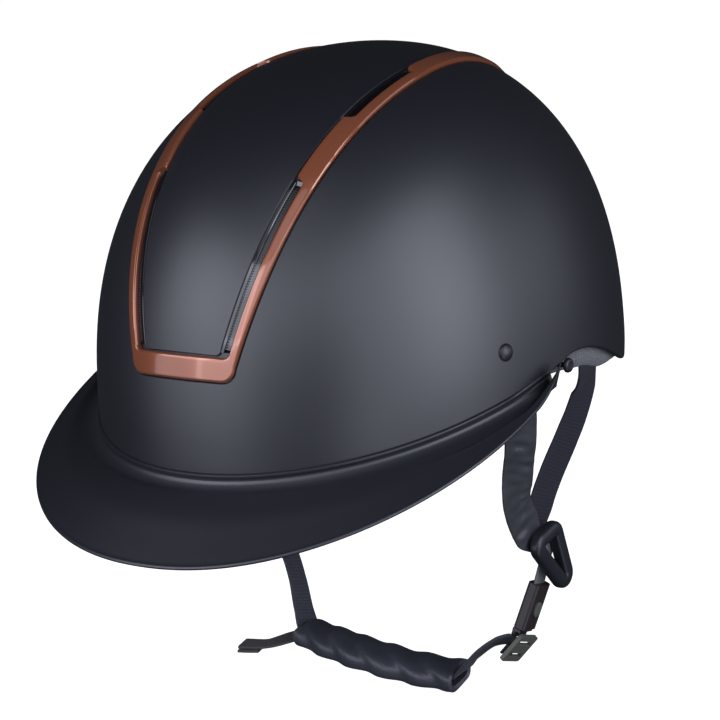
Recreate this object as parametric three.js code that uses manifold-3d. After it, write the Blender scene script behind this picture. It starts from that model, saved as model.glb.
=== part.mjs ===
// An equestrian riding helmet: shell, brim, trim, foam liner, padding, harness, buckle and rear dial.
// Units are millimetres. +Z is up, -Y is the front and +X is the wearer's left.
// The origin is the middle of the head opening, at the shell's widest level.
import * as THREE from 'three';
import Module from 'manifold-3d';
import { mergeVertices } from 'three/addons/utils/BufferGeometryUtils.js';

const wasm = await Module();
wasm.setup();

// ---------------------------------------------------------------- driving dimensions
const DOME = {
  halfWidth: 106.4, frontLength: 134, backLength: 131.5, height: 139.2,
  frontPower: 2.34, backPower: 2.19, sidePower: 2.35, planPower: 2.05,
  lean: 0.054, tuck: 0.025,
};
const SHELL_WALL = 2.5;
const GAP = 0.35;                       // running gap between neighbouring pieces
const RAIL = { start: 12, span: 120 };  // side-view angles of the rail stations, degrees
const BAR = { low: 0.028, high: 0.064 };// stations of the crossbar's two edges
const TRIM = { low: 0.35, high: 1.7 };  // offsets above the shell
const SLOTS = [
  { name: 'front', from: 0.074, to: 0.345 },
  { name: 'rear', from: 0.491, to: 0.655 },
];
const SLOT_WIDTH = 3.4;                 // each slot starts at the centre panel's edge
const LINER = { outer: -3.9, inner: -19.5 };
const PAD = { outer: -20.4, inner: -27.5 };
const STRAP = { width: 20, thick: 1.3 };
const WEB = { width: 12, thick: 1.4 };
const RIVET = { angle: 72.9, z: 26.1, head: 3.8, hole: 1.7, shank: 1.3 };
const REAR_STRAP_ANGLE = 102;
const SNAP = { angle: 90.2, z: 7.6 };
const CRADLE = { centreY: 18, radius: 80, z: -36, thick: 1.6, height: 10 };
const DIAL = { radius: 14.4, pinion: 5, housingX: 24, housingLow: -48, housingHigh: -24 };
// The buckle's sizes are those of a 16 mm webbing; scale brings them down to this strap's.
const BUCKLE = {
  centre: [78.6, -6.2, -103.8], down: [-0.313, -0.249, -0.915], scale: 0.7,
  length: 31, width: 15.5, thick: 8.6, cavityDepth: 22, cavityWidth: 11.4, cavityThick: 4.6,
};

const DEG = Math.PI / 180;
const vec = (x, y, z) => new THREE.Vector3(x, y, z);
const mix = (a, b, t) => a + (b - a) * t;
const signedPower = (v, p) => Math.sign(v) * Math.abs(v) ** p;
const round = (s, m) => Math.max(0, 1 - s ** m) ** (1 / m);
const smooth = (a, b, t) => THREE.MathUtils.smoothstep(t, a, b);

// ---------------------------------------------------------------- head form
// theta is 0 at the front and 90 degrees at the wearer's left.
function domePoint(theta, z) {
  const s = Math.min(1, Math.max(0, z) / DOME.height);
  const below = z < 0 ? 1 - DOME.tuck * (z / DOME.height / 0.2) ** 2 : 1;
  const front = Math.cos(theta) > 0;
  const length = front ? DOME.frontLength : DOME.backLength;
  const power = front ? DOME.frontPower : DOME.backPower;
  const a = DOME.halfWidth * round(s, DOME.sidePower) * below;
  const b = length * round(s, power) * below;
  return vec(
    a * signedPower(Math.sin(theta), 2 / DOME.planPower),
    -b * signedPower(Math.cos(theta), 2 / DOME.planPower) + DOME.lean * z,
    z,
  );
}

function domeNormal(theta, z) {
  const step = 0.004;
  const beta = Math.max(0.03, Math.acos(Math.min(1, z / DOME.height)));
  const height = (b) => DOME.height * Math.cos(b);
  const down = domePoint(theta, height(beta + step)).sub(domePoint(theta, height(beta - step)));
  const around = domePoint(theta + step, height(beta)).sub(domePoint(theta - step, height(beta)));
  return down.cross(around).normalize();
}

function onDome(theta, z, offset) {
  const normal = z > DOME.height * 0.9995 ? vec(0, 0, 1) : domeNormal(theta, z);
  return domePoint(theta, z).addScaledVector(normal, offset);
}

// The visible lower edge of the shell: the brim's seam in front, an arch over the ear, a low nape.
function seamZ(theta) {
  return 14.5 - 21 * Math.cos(theta) + 2.2 * Math.cos(2 * theta);
}

function wrap(theta) {
  return Math.abs(Math.atan2(Math.sin(theta), Math.cos(theta)));
}

function shellEdgeZ(theta) {
  const t = wrap(theta) / DEG;
  const front = seamZ(Math.min(t, 86) * DEG) - 14 * (1 - smooth(62, 84, t));
  const back = 13.2 - 27 * smooth(91, 127, t) - 10 * smooth(125, 172, t);
  return mix(front, back, smooth(84, 92, t));
}

// ---------------------------------------------------------------- geometry helpers
// Applies a point function to a geometry, welds it and turns its faces outward.
function warp(geometry, fn) {
  const flat = geometry.clone();
  for (const name of Object.keys(flat.attributes)) {
    if (name !== 'position') flat.deleteAttribute(name);
  }
  const position = flat.attributes.position;
  const point = new THREE.Vector3();
  for (let i = 0; i < position.count; i += 1) {
    const moved = fn(point.fromBufferAttribute(position, i).clone());
    position.setXYZ(i, moved.x, moved.y, moved.z);
  }
  const welded = mergeVertices(flat, 1e-4);
  return faceOut(dropFlatTriangles(welded));
}

function dropFlatTriangles(geometry) {
  const index = [...geometry.index.array];
  const kept = [];
  for (let i = 0; i < index.length; i += 3) {
    const [a, b, c] = index.slice(i, i + 3);
    if (a !== b && b !== c && a !== c) kept.push(a, b, c);
  }
  geometry.setIndex(kept);
  return geometry;
}

function faceOut(geometry) {
  const p = geometry.attributes.position;
  const index = [...geometry.index.array];
  let volume = 0;
  for (let i = 0; i < index.length; i += 3) {
    const [a, b, c] = [0, 1, 2].map((k) => vec().fromBufferAttribute(p, index[i + k]));
    volume += a.dot(b.cross(c));
  }
  if (volume < 0) geometry.setIndex(index.reverse());
  return geometry;
}

function toSolid(geometry) {
  const clean = warp(geometry.index ? geometry : geometry.clone(), (p) => p);
  return new wasm.Manifold(new wasm.Mesh({
    numProp: 3,
    vertProperties: new Float32Array(clean.attributes.position.array),
    triVerts: new Uint32Array(clean.index.array),
  }));
}

function fromSolid(solid) {
  const mesh = solid.getMesh();
  const geometry = new THREE.BufferGeometry();
  geometry.setAttribute('position', new THREE.BufferAttribute(mesh.vertProperties, 3));
  geometry.setIndex(new THREE.BufferAttribute(mesh.triVerts, 1));
  return geometry;
}

const cut = (geometry, tools) => fromSolid(
  tools.reduce((solid, tool) => solid.subtract(toSolid(tool)), toSolid(geometry)),
);
const join = (geometries) => fromSolid(
  geometries.slice(1).reduce((solid, next) => solid.add(toSolid(next)), toSolid(geometries[0])),
);

function box(sx, sy, sz, x = 0, y = 0, z = 0) {
  return new THREE.BoxGeometry(sx, sy, sz).translate(x, y, z);
}

// Places a geometry whose own x, y, z become the given width, normal and axis directions.
function place(geometry, origin, axis, normal) {
  const w = axis.clone().normalize();
  const n = normal.clone().addScaledVector(w, -normal.dot(w)).normalize();
  const matrix = new THREE.Matrix4().makeBasis(n.clone().cross(w).normalize(), n, w);
  matrix.setPosition(origin);
  return warp(geometry, (p) => p.applyMatrix4(matrix));
}

function roundedRect(width, height, radius) {
  const [w, h] = [width / 2, height / 2];
  const shape = new THREE.Shape();
  shape.moveTo(-w + radius, -h);
  shape.lineTo(w - radius, -h);
  shape.absarc(w - radius, -h + radius, radius, -Math.PI / 2, 0);
  shape.lineTo(w, h - radius);
  shape.absarc(w - radius, h - radius, radius, 0, Math.PI / 2);
  shape.lineTo(-w + radius, h);
  shape.absarc(-w + radius, h - radius, radius, Math.PI / 2, Math.PI);
  shape.lineTo(-w, -h + radius);
  shape.absarc(-w + radius, -h + radius, radius, Math.PI, 1.5 * Math.PI);
  return shape;
}

// Sweeps a shape along a route. Each route point is [x, y, z, outward normal x, y, z].
function sweep(shape, route, steps, curveSegments = 2, shift = 0) {
  const curve = new THREE.CatmullRomCurve3(route.map((r) => vec(...r.slice(0, 3))), false, 'centripetal');
  const normals = route.map((r) => vec(...r.slice(3, 6)).normalize());
  const body = new THREE.ExtrudeGeometry(shape, {
    depth: 1, steps, bevelEnabled: false, curveSegments,
  });
  return warp(body, (p) => {
    const at = p.z * (route.length - 1);
    const i = Math.min(route.length - 2, Math.floor(at));
    const tangent = curve.getTangent(p.z);
    const n = normals[i].clone().lerp(normals[i + 1], at - i);
    n.addScaledVector(tangent, -n.dot(tangent)).normalize();
    const across = tangent.clone().cross(n);
    return curve.getPoint(p.z).addScaledVector(across, p.x).addScaledVector(n, p.y + shift);
  });
}

function flatBand(width, thick) {
  const shape = new THREE.Shape();
  shape.moveTo(-width / 2, -thick / 2);
  shape.lineTo(width / 2, -thick / 2);
  shape.lineTo(width / 2, thick / 2);
  shape.lineTo(-width / 2, thick / 2);
  shape.closePath();
  return shape;
}

// ---------------------------------------------------------------- dome-shaped pieces
function domeLayer(outer, inner, edgeZ, around, rows) {
  const profile = [];
  for (let i = 0; i <= rows; i += 1) {
    const a = (i / rows) * 90 * DEG;
    profile.push(new THREE.Vector2(Math.sin(a), Math.cos(a)));
  }
  for (let i = rows; i >= 0; i -= 1) {
    const a = (i / rows) * 90 * DEG;
    profile.push(new THREE.Vector2(Math.sin(a) / 2, Math.cos(a) / 2));
  }
  profile.forEach((p) => { if (p.x < 1e-9) p.x = 0; });
  return warp(new THREE.LatheGeometry(profile, around), (p) => {
    const radius = Math.hypot(p.x, p.z);
    const theta = Math.atan2(p.x, p.z);
    const level = Math.atan2(radius, p.y) / (90 * DEG);
    const depth = (1 - Math.hypot(radius, p.y)) * 2;
    const lowest = Math.acos(edgeZ(theta) / DOME.height);
    return onDome(theta, DOME.height * Math.cos(lowest * level), mix(outer, inner, depth));
  });
}

// A pad on the inside of the dome over a range of angles and heights.
function domePatch(from, to, lowZ, highZ, outer, inner, across = 14, up = 4) {
  const block = new THREE.BoxGeometry(1, 1, 1, across, up, 2);
  return warp(block, (p) => {
    const bulge = Math.sqrt(Math.max(0, 1 - (2 * p.y) ** 2)) * 0.45 + 0.55;
    const theta = mix(from, to, p.x + 0.5) * DEG;
    const z = mix(lowZ(theta), highZ(theta), p.y + 0.5);
    const middle = (outer + inner) / 2;
    return onDome(theta, z, middle + (outer - inner) * p.z * bulge);
  });
}

// The underside of the padded roll below the arch, and its outer face, which clears the snap stud.
function rollBottom(theta) {
  const t = wrap(theta) / DEG;
  return 2.5 - 7 * smooth(90, 110, t) - 14 * smooth(104, 140, t);
}
const rollTop = (theta) => Math.min(rollBottom(theta) + 13, shellEdgeZ(theta) + 5.8);
const rollOuter = (theta) => mix(-7, -3.3, smooth(91, 97, wrap(theta) / DEG));

function sideRoll(side) {
  const oval = new THREE.Shape();
  oval.absellipse(0, 0, 1, 1, 0, 2 * Math.PI);
  const roll = new THREE.ExtrudeGeometry(oval, {
    depth: 1, steps: 16, bevelEnabled: false, curveSegments: 5,
  });
  const body = warp(roll, (p) => {
    const theta = mix(88, 133, p.z) * DEG * side;
    const outer = rollOuter(theta);
    const z = mix(rollBottom(theta), rollTop(theta), (p.y + 1) / 2);
    return onDome(theta, z, mix(-15.5, outer, (p.x + 1) / 2));
  });
  return cut(body, [sweep(flatBand(STRAP.width, 2.6), rearStrapRoute(side), 16, 1)]);
}

// A padded roll that follows the lower rim, with an oval section.
function rimRoll(from, to, drop, outer, inner, half, steps) {
  const oval = new THREE.Shape();
  oval.absellipse(0, 0, 1, 1, 0, 2 * Math.PI);
  const roll = new THREE.ExtrudeGeometry(oval, {
    depth: 1, steps, bevelEnabled: false, curveSegments: 5,
  });
  const middle = (outer + inner) / 2;
  return warp(roll, (p) => {
    const theta = mix(from, to, p.z) * DEG;
    const z = shellEdgeZ(theta) - drop + p.y * half;
    return onDome(theta, z, middle + (p.x * (outer - inner)) / 2);
  });
}

// ---------------------------------------------------------------- rails, slots and brim
const railOuter = (u) => 22.1 + 83.8 * u - 75 * u * u;
const railInner = (u) => 14.6 + 78.9 * u - 69.3 * u * u;

// A point of the dome at a given distance from the middle plane and a given rail station.
function railPoint(c, u, side, offset) {
  const phi = (RAIL.start + RAIL.span * u) * DEG;
  let low = 5;
  let high = 260;
  for (let i = 0; i < 40; i += 1) {
    const r = (low + high) / 2;
    if (insideDome(Math.abs(c), -r * Math.cos(phi), r * Math.sin(phi))) low = r;
    else high = r;
  }
  const [y, z] = [-low * Math.cos(phi), low * Math.sin(phi)];
  const theta = domeTheta(c * side, y, z);
  return onDome(theta, z, offset);
}

function domeAxes(y, z) {
  const s = Math.min(1, Math.max(0, z) / DOME.height);
  const ahead = y - DOME.lean * z;
  const front = ahead < 0;
  const b = (front ? DOME.frontLength : DOME.backLength)
    * round(s, front ? DOME.frontPower : DOME.backPower);
  return { a: DOME.halfWidth * round(s, DOME.sidePower), b, ahead };
}

function insideDome(x, y, z) {
  if (z >= DOME.height) return false;
  const { a, b, ahead } = domeAxes(y, z);
  return (x / a) ** DOME.planPower + (Math.abs(ahead) / b) ** DOME.planPower < 1;
}

function domeTheta(x, y, z) {
  const { a, b, ahead } = domeAxes(y, z);
  const half = DOME.planPower / 2;
  return Math.atan2(signedPower(x / a, half), signedPower(-ahead / b, half));
}

function slotBlock(slot, side, inset, low, high, steps) {
  const endInset = inset * 0.004;
  return warp(new THREE.BoxGeometry(1, 1, 1, steps, 1, 1), (p) => {
    const u = mix(slot.from + endInset, slot.to - endInset, p.x + 0.5);
    const near = railInner(u) + SLOT_WIDTH - inset;
    const far = railInner(u) + inset;
    return railPoint(mix(near, far, p.y + 0.5), u, side, mix(low, high, p.z + 0.5));
  });
}

function ventGrille(slot, side) {
  const plate = slotBlock(slot, side, GAP, -2.4, -1.2, 10);
  const ribs = [];
  const count = Math.round((slot.to - slot.from) / 0.036);
  for (let i = 0; i < count; i += 1) {
    const middle = mix(slot.from, slot.to, (i + 0.75) / (count + 0.5));
    const rib = { from: middle - 0.003, to: middle + 0.003 };
    ribs.push(slotBlock(rib, side, GAP + 0.2, -1.6, -0.5, 1));
  }
  return join([plate, ...ribs]);
}

// The trim gives way to the slots: its inner edge steps outward beside each one.
function trimInner(u) {
  const ramp = 0.012;
  const step = SLOTS.reduce((sum, slot) => sum
    + smooth(slot.from - ramp, slot.from, u) * (1 - smooth(slot.to, slot.to + ramp, u)), 0);
  return railInner(u) + GAP + (SLOT_WIDTH + GAP / 2) * step;
}

// The U-shaped trim: two rails that taper off behind the crown and one crossbar with round corners.
function trimFrame() {
  const rail = 34;
  const corner = 5;
  const bar = 4;
  const half = [];
  const cornerSize = { outerC: 6, outerU: 0.022, innerC: 3, innerU: 0.011 };
  for (let i = 0; i <= rail; i += 1) {
    const t = i / rail;
    const outerU = mix(1, BAR.low + cornerSize.outerU, t);
    const innerU = mix(1, BAR.high + cornerSize.innerU, t);
    const taper = 1 - 0.8 * smooth(0.86, 1, mix(1, 0, t));
    const centre = (railOuter(outerU) + trimInner(innerU)) / 2;
    half.push({
      outer: [mix(centre, railOuter(outerU), taper), outerU],
      inner: [mix(centre, trimInner(innerU), taper), innerU],
    });
  }
  for (let i = 1; i <= corner; i += 1) {
    const a = (i / corner) * 90 * DEG;
    const pull = (edge, low, sizeC, sizeU) => [
      edge(low + sizeU) - sizeC * (1 - Math.cos(a)), low + sizeU * (1 - Math.sin(a)),
    ];
    half.push({
      outer: pull(railOuter, BAR.low, cornerSize.outerC, cornerSize.outerU),
      inner: pull(trimInner, BAR.high, cornerSize.innerC, cornerSize.innerU),
    });
  }
  const last = half[half.length - 1];
  for (let i = 1; i <= bar; i += 1) {
    half.push({
      outer: [last.outer[0] * (1 - i / bar), BAR.low],
      inner: [last.inner[0] * (1 - i / bar), BAR.high],
    });
  }
  const mirrored = half.slice(0, -1).reverse().map((s) => ({
    outer: [-s.outer[0], s.outer[1]], inner: [-s.inner[0], s.inner[1]],
  }));
  const stations = [...half, ...mirrored];
  const segments = stations.length - 1;
  return warp(new THREE.BoxGeometry(1, 1, 1, segments, 1, 1), (p) => {
    const station = stations[Math.round((p.x + 0.5) * segments)];
    const [c, u] = p.y > 0 ? station.outer : station.inner;
    return railPoint(Math.abs(c), u, c < 0 ? -1 : 1, p.z > 0 ? TRIM.high : TRIM.low);
  });
}

// The brim's outer edge, at parameter angle t.
function brimEdge(t) {
  const cos = Math.cos(t);
  const reach = cos < 0 ? 0.7 : 1;
  return vec(
    114.7 * signedPower(Math.sin(t), 2 / 2.13),
    -39.3 - 131.1 * reach * signedPower(cos, 2 / 2.13),
    8.85 - 43.67 * cos + 5.73 * Math.cos(2 * t) - 2.04 * Math.cos(3 * t),
  );
}

// The brim is lofted from its root beside the shell, over a bead, to its edge.
function brimSection(t) {
  const theta = (t * 84) / 105;
  const fade = 1 - smooth(88 * DEG, 105 * DEG, Math.abs(t));
  const top = seamZ(theta);
  const edge = brimEdge(t);
  const at = (offset, dz) => onDome(theta, top + dz, offset);
  const toEdge = (point, k, lift) => point.clone().lerp(edge, k).add(vec(0, 0, lift));
  const bead = at(5.2 * fade + 1.5, -4.2);
  return [
    at(0.45, -0.6), at(2.9 * fade + 1.1, -0.9), bead, toEdge(bead, 0.35, 1.6), toEdge(bead, 0.7, 1.3),
    edge.clone().add(vec(0, 0, 0.9)), edge.clone().add(vec(0, 0, -0.9)),
    toEdge(bead, 0.7, -1.9), toEdge(bead, 0.35, -3), at(2.6, -4.2 - 5.4 * (0.4 + 0.6 * fade)),
    at(0.45, -4.4 - 6 * (0.4 + 0.6 * fade)),
  ];
}

function brim() {
  const steps = 44;
  const sides = 11;
  const ring = new THREE.Shape();
  for (let i = 0; i < sides; i += 1) {
    const a = (-i / sides) * 2 * Math.PI;
    if (i === 0) ring.moveTo(Math.cos(a), Math.sin(a));
    else ring.lineTo(Math.cos(a), Math.sin(a));
  }
  const body = new THREE.ExtrudeGeometry(ring, { depth: 1, steps, bevelEnabled: false });
  return warp(body, (p) => {
    const t = mix(-105, 105, p.z) * DEG;
    const corner = Math.round((Math.atan2(-p.y, p.x) / (2 * Math.PI)) * sides + sides) % sides;
    return brimSection(t)[corner];
  });
}

// ---------------------------------------------------------------- shell, liner and padding
const rivetSpot = (side, offset) => onDome(RIVET.angle * DEG * side, RIVET.z, offset);
const rivetAxis = (side) => domeNormal(RIVET.angle * DEG * side, RIVET.z);

function rivetBlank(radius, side, from, to) {
  const length = to - from;
  const rod = new THREE.CylinderGeometry(radius, radius, length, 14).rotateX(90 * DEG);
  return place(rod, rivetSpot(side, (from + to) / 2), rivetAxis(side), vec(0, 0, 1));
}

function outerShell() {
  const blank = domeLayer(0, -SHELL_WALL, shellEdgeZ, 48, 11);
  const tools = [];
  for (const side of [1, -1]) {
    SLOTS.forEach((slot) => tools.push(slotBlock(slot, side, 0, -6, 4, 10)));
    tools.push(rivetBlank(RIVET.hole, side, -6, 4));
  }
  return cut(blank, tools);
}

const linerEdgeZ = (theta) => shellEdgeZ(theta) + 6.5;

function impactLiner() {
  const blank = domeLayer(LINER.outer, LINER.inner, linerEdgeZ, 48, 8);
  const tools = [];
  for (const side of [1, -1]) {
    tools.push(sweep(flatBand(STRAP.width + 2, 4.2), frontStrapRoute(side), 16, 1));
    tools.push(sweep(flatBand(STRAP.width, 6.6), rearStrapRoute(side), 16, 1));
    tools.push(rivetBlank(6, side, -9, -1));
    SLOTS.forEach((slot) => tools.push(slotBlock(slot, side, 0.4, -26, 0, 8)));
  }
  return cut(blank, tools);
}

function rivet(side) {
  const cap = new THREE.LatheGeometry([
    new THREE.Vector2(0, 1.5), new THREE.Vector2(1.9, 1.35), new THREE.Vector2(3.1, 0.95),
    new THREE.Vector2(RIVET.head, 0.35), new THREE.Vector2(RIVET.shank, 0.35),
    new THREE.Vector2(RIVET.shank, -6.4), new THREE.Vector2(0, -6.4),
  ], 16).rotateX(90 * DEG);
  return place(cap, rivetSpot(side, 0), rivetAxis(side), vec(0, 0, 1));
}

function rivetWasher(side) {
  const ring = new THREE.Shape();
  ring.absarc(0, 0, 4.6, 0, 2 * Math.PI);
  const hole = new THREE.Path();
  hole.absarc(0, 0, RIVET.hole, 0, 2 * Math.PI);
  ring.holes.push(hole);
  const disc = new THREE.ExtrudeGeometry(ring, { depth: 1, bevelEnabled: false, curveSegments: 6 });
  return place(disc, rivetSpot(side, -6.2), rivetAxis(side), vec(0, 0, 1));
}

// A small stud that buttons the comfort padding to the rim in front of the rear strap.
function linerSnap(side) {
  const stud = new THREE.LatheGeometry([
    new THREE.Vector2(0, 1.6), new THREE.Vector2(1.6, 1.3), new THREE.Vector2(2.3, 0.3),
    new THREE.Vector2(2.3, -0.5), new THREE.Vector2(1.2, -0.5), new THREE.Vector2(1.2, -5),
    new THREE.Vector2(0, -5),
  ], 14).rotateX(90 * DEG);
  const theta = SNAP.angle * DEG * side;
  return place(stud, onDome(theta, SNAP.z, -1.4), domeNormal(theta, SNAP.z), vec(0, 0, 1));
}

// ---------------------------------------------------------------- harness
// The yoke straps start between the shell and the liner and hang to the divider under the ear.
const dividerX = (side) => (side > 0 ? 88 : -80);

function hiddenStation(theta, z, offset) {
  const p = onDome(theta, z, offset);
  const n = domeNormal(theta, z);
  return [p.x, p.y, p.z, n.x, n.y, n.z];
}

// A point of a hanging strap. The right yoke hangs a little further in, back and up than the left.
// share runs from 0 at the rim to 1 at the divider.
function hang(side, x, y, z, share) {
  return side > 0 ? [x, y, z] : [8 * share - x, y + 10 * share, z + 4 * share];
}

function frontStrapRoute(side) {
  const top = RIVET.angle * DEG * side;
  return [
    hiddenStation(top, RIVET.z + 8, -4.1),
    hiddenStation(top, RIVET.z, -4.1),
    hiddenStation(top + 2.5 * DEG * side, 12, -4.1),
    hiddenStation(top + 4 * DEG * side, -1, -4.1),
    [...hang(side, 95.6, -27.4, -20.4, 0.05), side, -0.2, 0],
    [...hang(side, 92, -25.6, -31.8, 0.4), side, -0.2, 0],
    [...hang(side, 88.3, -22.6, -46.1, 0.65), side, -0.15, 0],
    [...hang(side, 84.8, -16.6, -57.5, 0.85), side, 0, 0],
    [...hang(side, 83.6, -7, -71, 1), side, 0, 0],
  ];
}

function rearStrapRoute(side) {
  const top = REAR_STRAP_ANGLE * DEG * side;
  return [
    hiddenStation(top, 26, -6.5),
    hiddenStation(top, 12, -6.5),
    hiddenStation(top, -3, -6.5),
    [...hang(side, 94.4, 27.5, -13, 0.2), side, 0, 0],
    [...hang(side, 91.2, 24.8, -23.6, 0.35), side, 0, 0],
    [...hang(side, 88, 19.8, -34, 0.5), side, 0, 0],
    [...hang(side, 83.6, 11.5, -48.5, 0.75), side, 0, 0],
    [...hang(side, 81.2, 6, -59, 0.9), side, 0, 0],
    [...hang(side, 80.4, 1.5, -69, 1), side, 0, 0],
  ];
}

function frontStrap(side) {
  const strap = sweep(flatBand(STRAP.width, STRAP.thick), frontStrapRoute(side), 28, 1);
  return cut(strap, [rivetBlank(RIVET.hole, side, -9, -1)]);
}

const rearStrap = (side) => sweep(flatBand(STRAP.width - 1, STRAP.thick), rearStrapRoute(side), 24, 1);

// A rounded three-cornered loop, in the plane of the yoke straps.
function divider(side) {
  const corners = side > 0
    ? [[-8, -74], [1, -72.6], [5.5, -92]]
    : [[2, -70], [11, -68.6], [15.5, -88]];
  const centre = corners.reduce((s, c) => [s[0] + c[0] / 3, s[1] + c[1] / 3], [0, 0]);
  const outline = (path, radius) => {
    corners.forEach((corner, i) => {
      const before = corners[(i + 2) % 3];
      const after = corners[(i + 1) % 3];
      const start = edgeAngle(before, corner);
      const end = edgeAngle(corner, after);
      path.absarc(corner[0] - centre[0], corner[1] - centre[1], radius, start, end, true);
    });
    return path;
  };
  const shape = outline(new THREE.Shape(), 6.5);
  shape.holes.push(new THREE.Path(outline(new THREE.Path(), 2).getPoints(6).reverse()));
  const ring = new THREE.ExtrudeGeometry(shape, { depth: 4.6, bevelEnabled: false, curveSegments: 6 });
  const x = dividerX(side);
  return warp(ring, (p) => vec(x + p.z - 2.3, p.x + centre[0], p.y + centre[1]));
}

function edgeAngle(from, to) {
  return Math.atan2(to[1] - from[1], to[0] - from[0]) + 90 * DEG;
}

// The buckle's own frame: x across the strap, y outward, z down the strap.
const BUCKLE_ORIGIN = vec(...BUCKLE.centre);
const BUCKLE_DOWN = vec(...BUCKLE.down).normalize();
const inBuckle = (geometry) => place(
  geometry.clone().scale(BUCKLE.scale, BUCKLE.scale, BUCKLE.scale), BUCKLE_ORIGIN, BUCKLE_DOWN, vec(1, 0, 0),
);

function buckleHousing() {
  const body = new THREE.ExtrudeGeometry(roundedRect(BUCKLE.width, BUCKLE.thick, 2.6), {
    depth: BUCKLE.length, bevelEnabled: false, curveSegments: 4,
  }).translate(0, 0, -BUCKLE.length / 2);
  const mouth = BUCKLE.length / 2;
  const cavity = box(BUCKLE.cavityWidth, BUCKLE.cavityThick, BUCKLE.cavityDepth + 1,
    0, -0.6, mouth - BUCKLE.cavityDepth / 2 + 0.5);
  const window = ovalPrism(3.6, 5.6, 6, 3.5, 1);
  const strapSlot = box(12.4, 2.6, 10, 0, -0.4, -mouth + 3);
  return inBuckle(cut(body, [cavity, window, strapSlot]));
}

function ovalPrism(rx, rz, height, y, z) {
  const oval = new THREE.Shape();
  oval.absellipse(0, 0, rx, rz, 0, 2 * Math.PI);
  return new THREE.ExtrudeGeometry(oval, { depth: height, bevelEnabled: false, curveSegments: 7 })
    .translate(0, 0, -height / 2).rotateX(90 * DEG).translate(0, y, z);
}

// The button stands proud of the buckle's outer face and keeps a gap to the plug's tongue.
const releaseButton = () => inBuckle(join([
  ovalPrism(3.2, 5.2, 4.5, 3.25, 1), ovalPrism(4.6, 6.4, 0.7, 1, 1),
]));

// An arched leaf below the button's flange.
const buttonSpring = () => inBuckle(warp(new THREE.BoxGeometry(2.4, 0.25, 9, 1, 1, 8), (p) => (
  vec(p.x, p.y - 0.42 + 0.5 * Math.cos((p.z / 4.5) * 90 * DEG), p.z + 1)
)));

function bucklePlug() {
  const mouth = BUCKLE.length / 2;
  const tongue = box(10, 1.5, 18.5, 0, -1.6, mouth - 7.9);
  const shoulder = box(14.5, 6, 2, 0, -0.9, mouth + 1.6);
  const arms = [1, -1].map((s) => box(2, 2.6, 4.2, s * 6.25, -2.3, mouth + 4.4));
  const bar = box(14.5, 2.6, 2, 0, -2.3, mouth + 5.6);
  return inBuckle(join([tongue, shoulder, ...arms, bar]));
}

// The webbing that hangs from the divider and enters the top of the buckle.
const buckleStrap = () => sweep(flatBand(8, 1.2), [
  [83.4, -1.2, -79.5, 1, 0, 0],
  [83.2, -1.6, -84, 1, -0.05, -0.15],
  [82.8, -2.4, -88.5, 1, -0.1, -0.3],
  [81.4, -4.1, -95.4, 1, -0.1, -0.3],
], 8, 1);

const ADJUSTER = {
  centre: [74.1, -14.2, -120.9], down: [-0.62, -0.3, -0.73], outward: [0.78, -0.26, -0.57], thick: 2,
};

// The ladder-lock: a square plate with two slots.
function adjusterSlide() {
  const plate = roundedRect(13.5, 15, 1.2);
  for (const z of [-3.6, 3.6]) {
    const slot = new THREE.Path();
    slot.moveTo(-5, z - 1.2);
    slot.lineTo(-5, z + 1.2);
    slot.lineTo(5, z + 1.2);
    slot.lineTo(5, z - 1.2);
    slot.closePath();
    plate.holes.push(slot);
  }
  const body = new THREE.ExtrudeGeometry(plate, { depth: ADJUSTER.thick, bevelEnabled: false, curveSegments: 2 })
    .rotateX(90 * DEG).translate(0, ADJUSTER.thick, 0);
  return place(body, vec(...ADJUSTER.centre), vec(...ADJUSTER.down), vec(...ADJUSTER.outward));
}

// The webbing fold behind the ladder-lock.
const adjusterLoop = () => sweep(flatBand(9.6, 1.2), [
  [72.3, -13.9, -119.9, ...ADJUSTER.outward],
  [70.8, -14.6, -121.7, ...ADJUSTER.outward],
  [68.6, -15.7, -124.3, ...ADJUSTER.outward],
], 4, 1);

const CHIN_MIDDLE = [
  [41, -14, -140.2, 0.2, 0.1, -1],
  [22, -15, -139.6, 0.05, 0.1, -1],
  [0, -16, -137.2, 0, 0.1, -1],
  [-25, -12.5, -135.6, -0.1, 0.1, -1],
  [-46.5, -6, -135.4, -0.4, 0, -1],
];

const chinWebbing = () => sweep(flatBand(WEB.width, WEB.thick), [
  [69.2, -13.2, -118, 0.5, 0, -1],
  [64, -15.5, -120.6, 0.5, 0, -1],
  [58.5, -16.5, -124.5, 0.6, 0, -1],
  [50, -16.2, -132.5, 0.6, 0, -1],
  ...CHIN_MIDDLE,
  [-53.5, -1, -128, -1, 0, -0.7],
  [-60, 5, -115, -1, 0, -0.3],
  [-66.5, 9.5, -104, -1, 0, -0.3],
  [-73.6, 12, -95, -1, 0, -0.5],
], 44, 1, -1.4);

function chinCover() {
  const sleeve = roundedRect(18, 9.4, 3.8);
  const bore = roundedRect(14, 5.6, 0.6);
  sleeve.holes.push(new THREE.Path(bore.getPoints(1)));
  return sweep(sleeve, CHIN_MIDDLE, 16, 3);
}

const strapTail = () => sweep(flatBand(WEB.width - 2, WEB.thick), [
  [-38, -8.6, -135.4, -0.2, 0, -1],
  [-46, -5.6, -135.4, -0.3, 0, -1],
  [-53, -6.8, -136, -0.1, 0, -1],
  [-64, -16.4, -137.8, 0.05, 0, -1],
  [-77, -19, -138.6, 0.05, 0, -1],
], 14, 1, 1.3);

// The sewn double end of the tail: a second layer below its last stretch.
const tailEnd = () => sweep(flatBand(WEB.width - 1, WEB.thick), [
  [-67, -17.3, -138, 0.05, 0, -1],
  [-72, -18.4, -138.3, 0.05, 0, -1],
  [-77, -19, -138.6, 0.05, 0, -1],
], 4, 1, 3.1);

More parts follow.
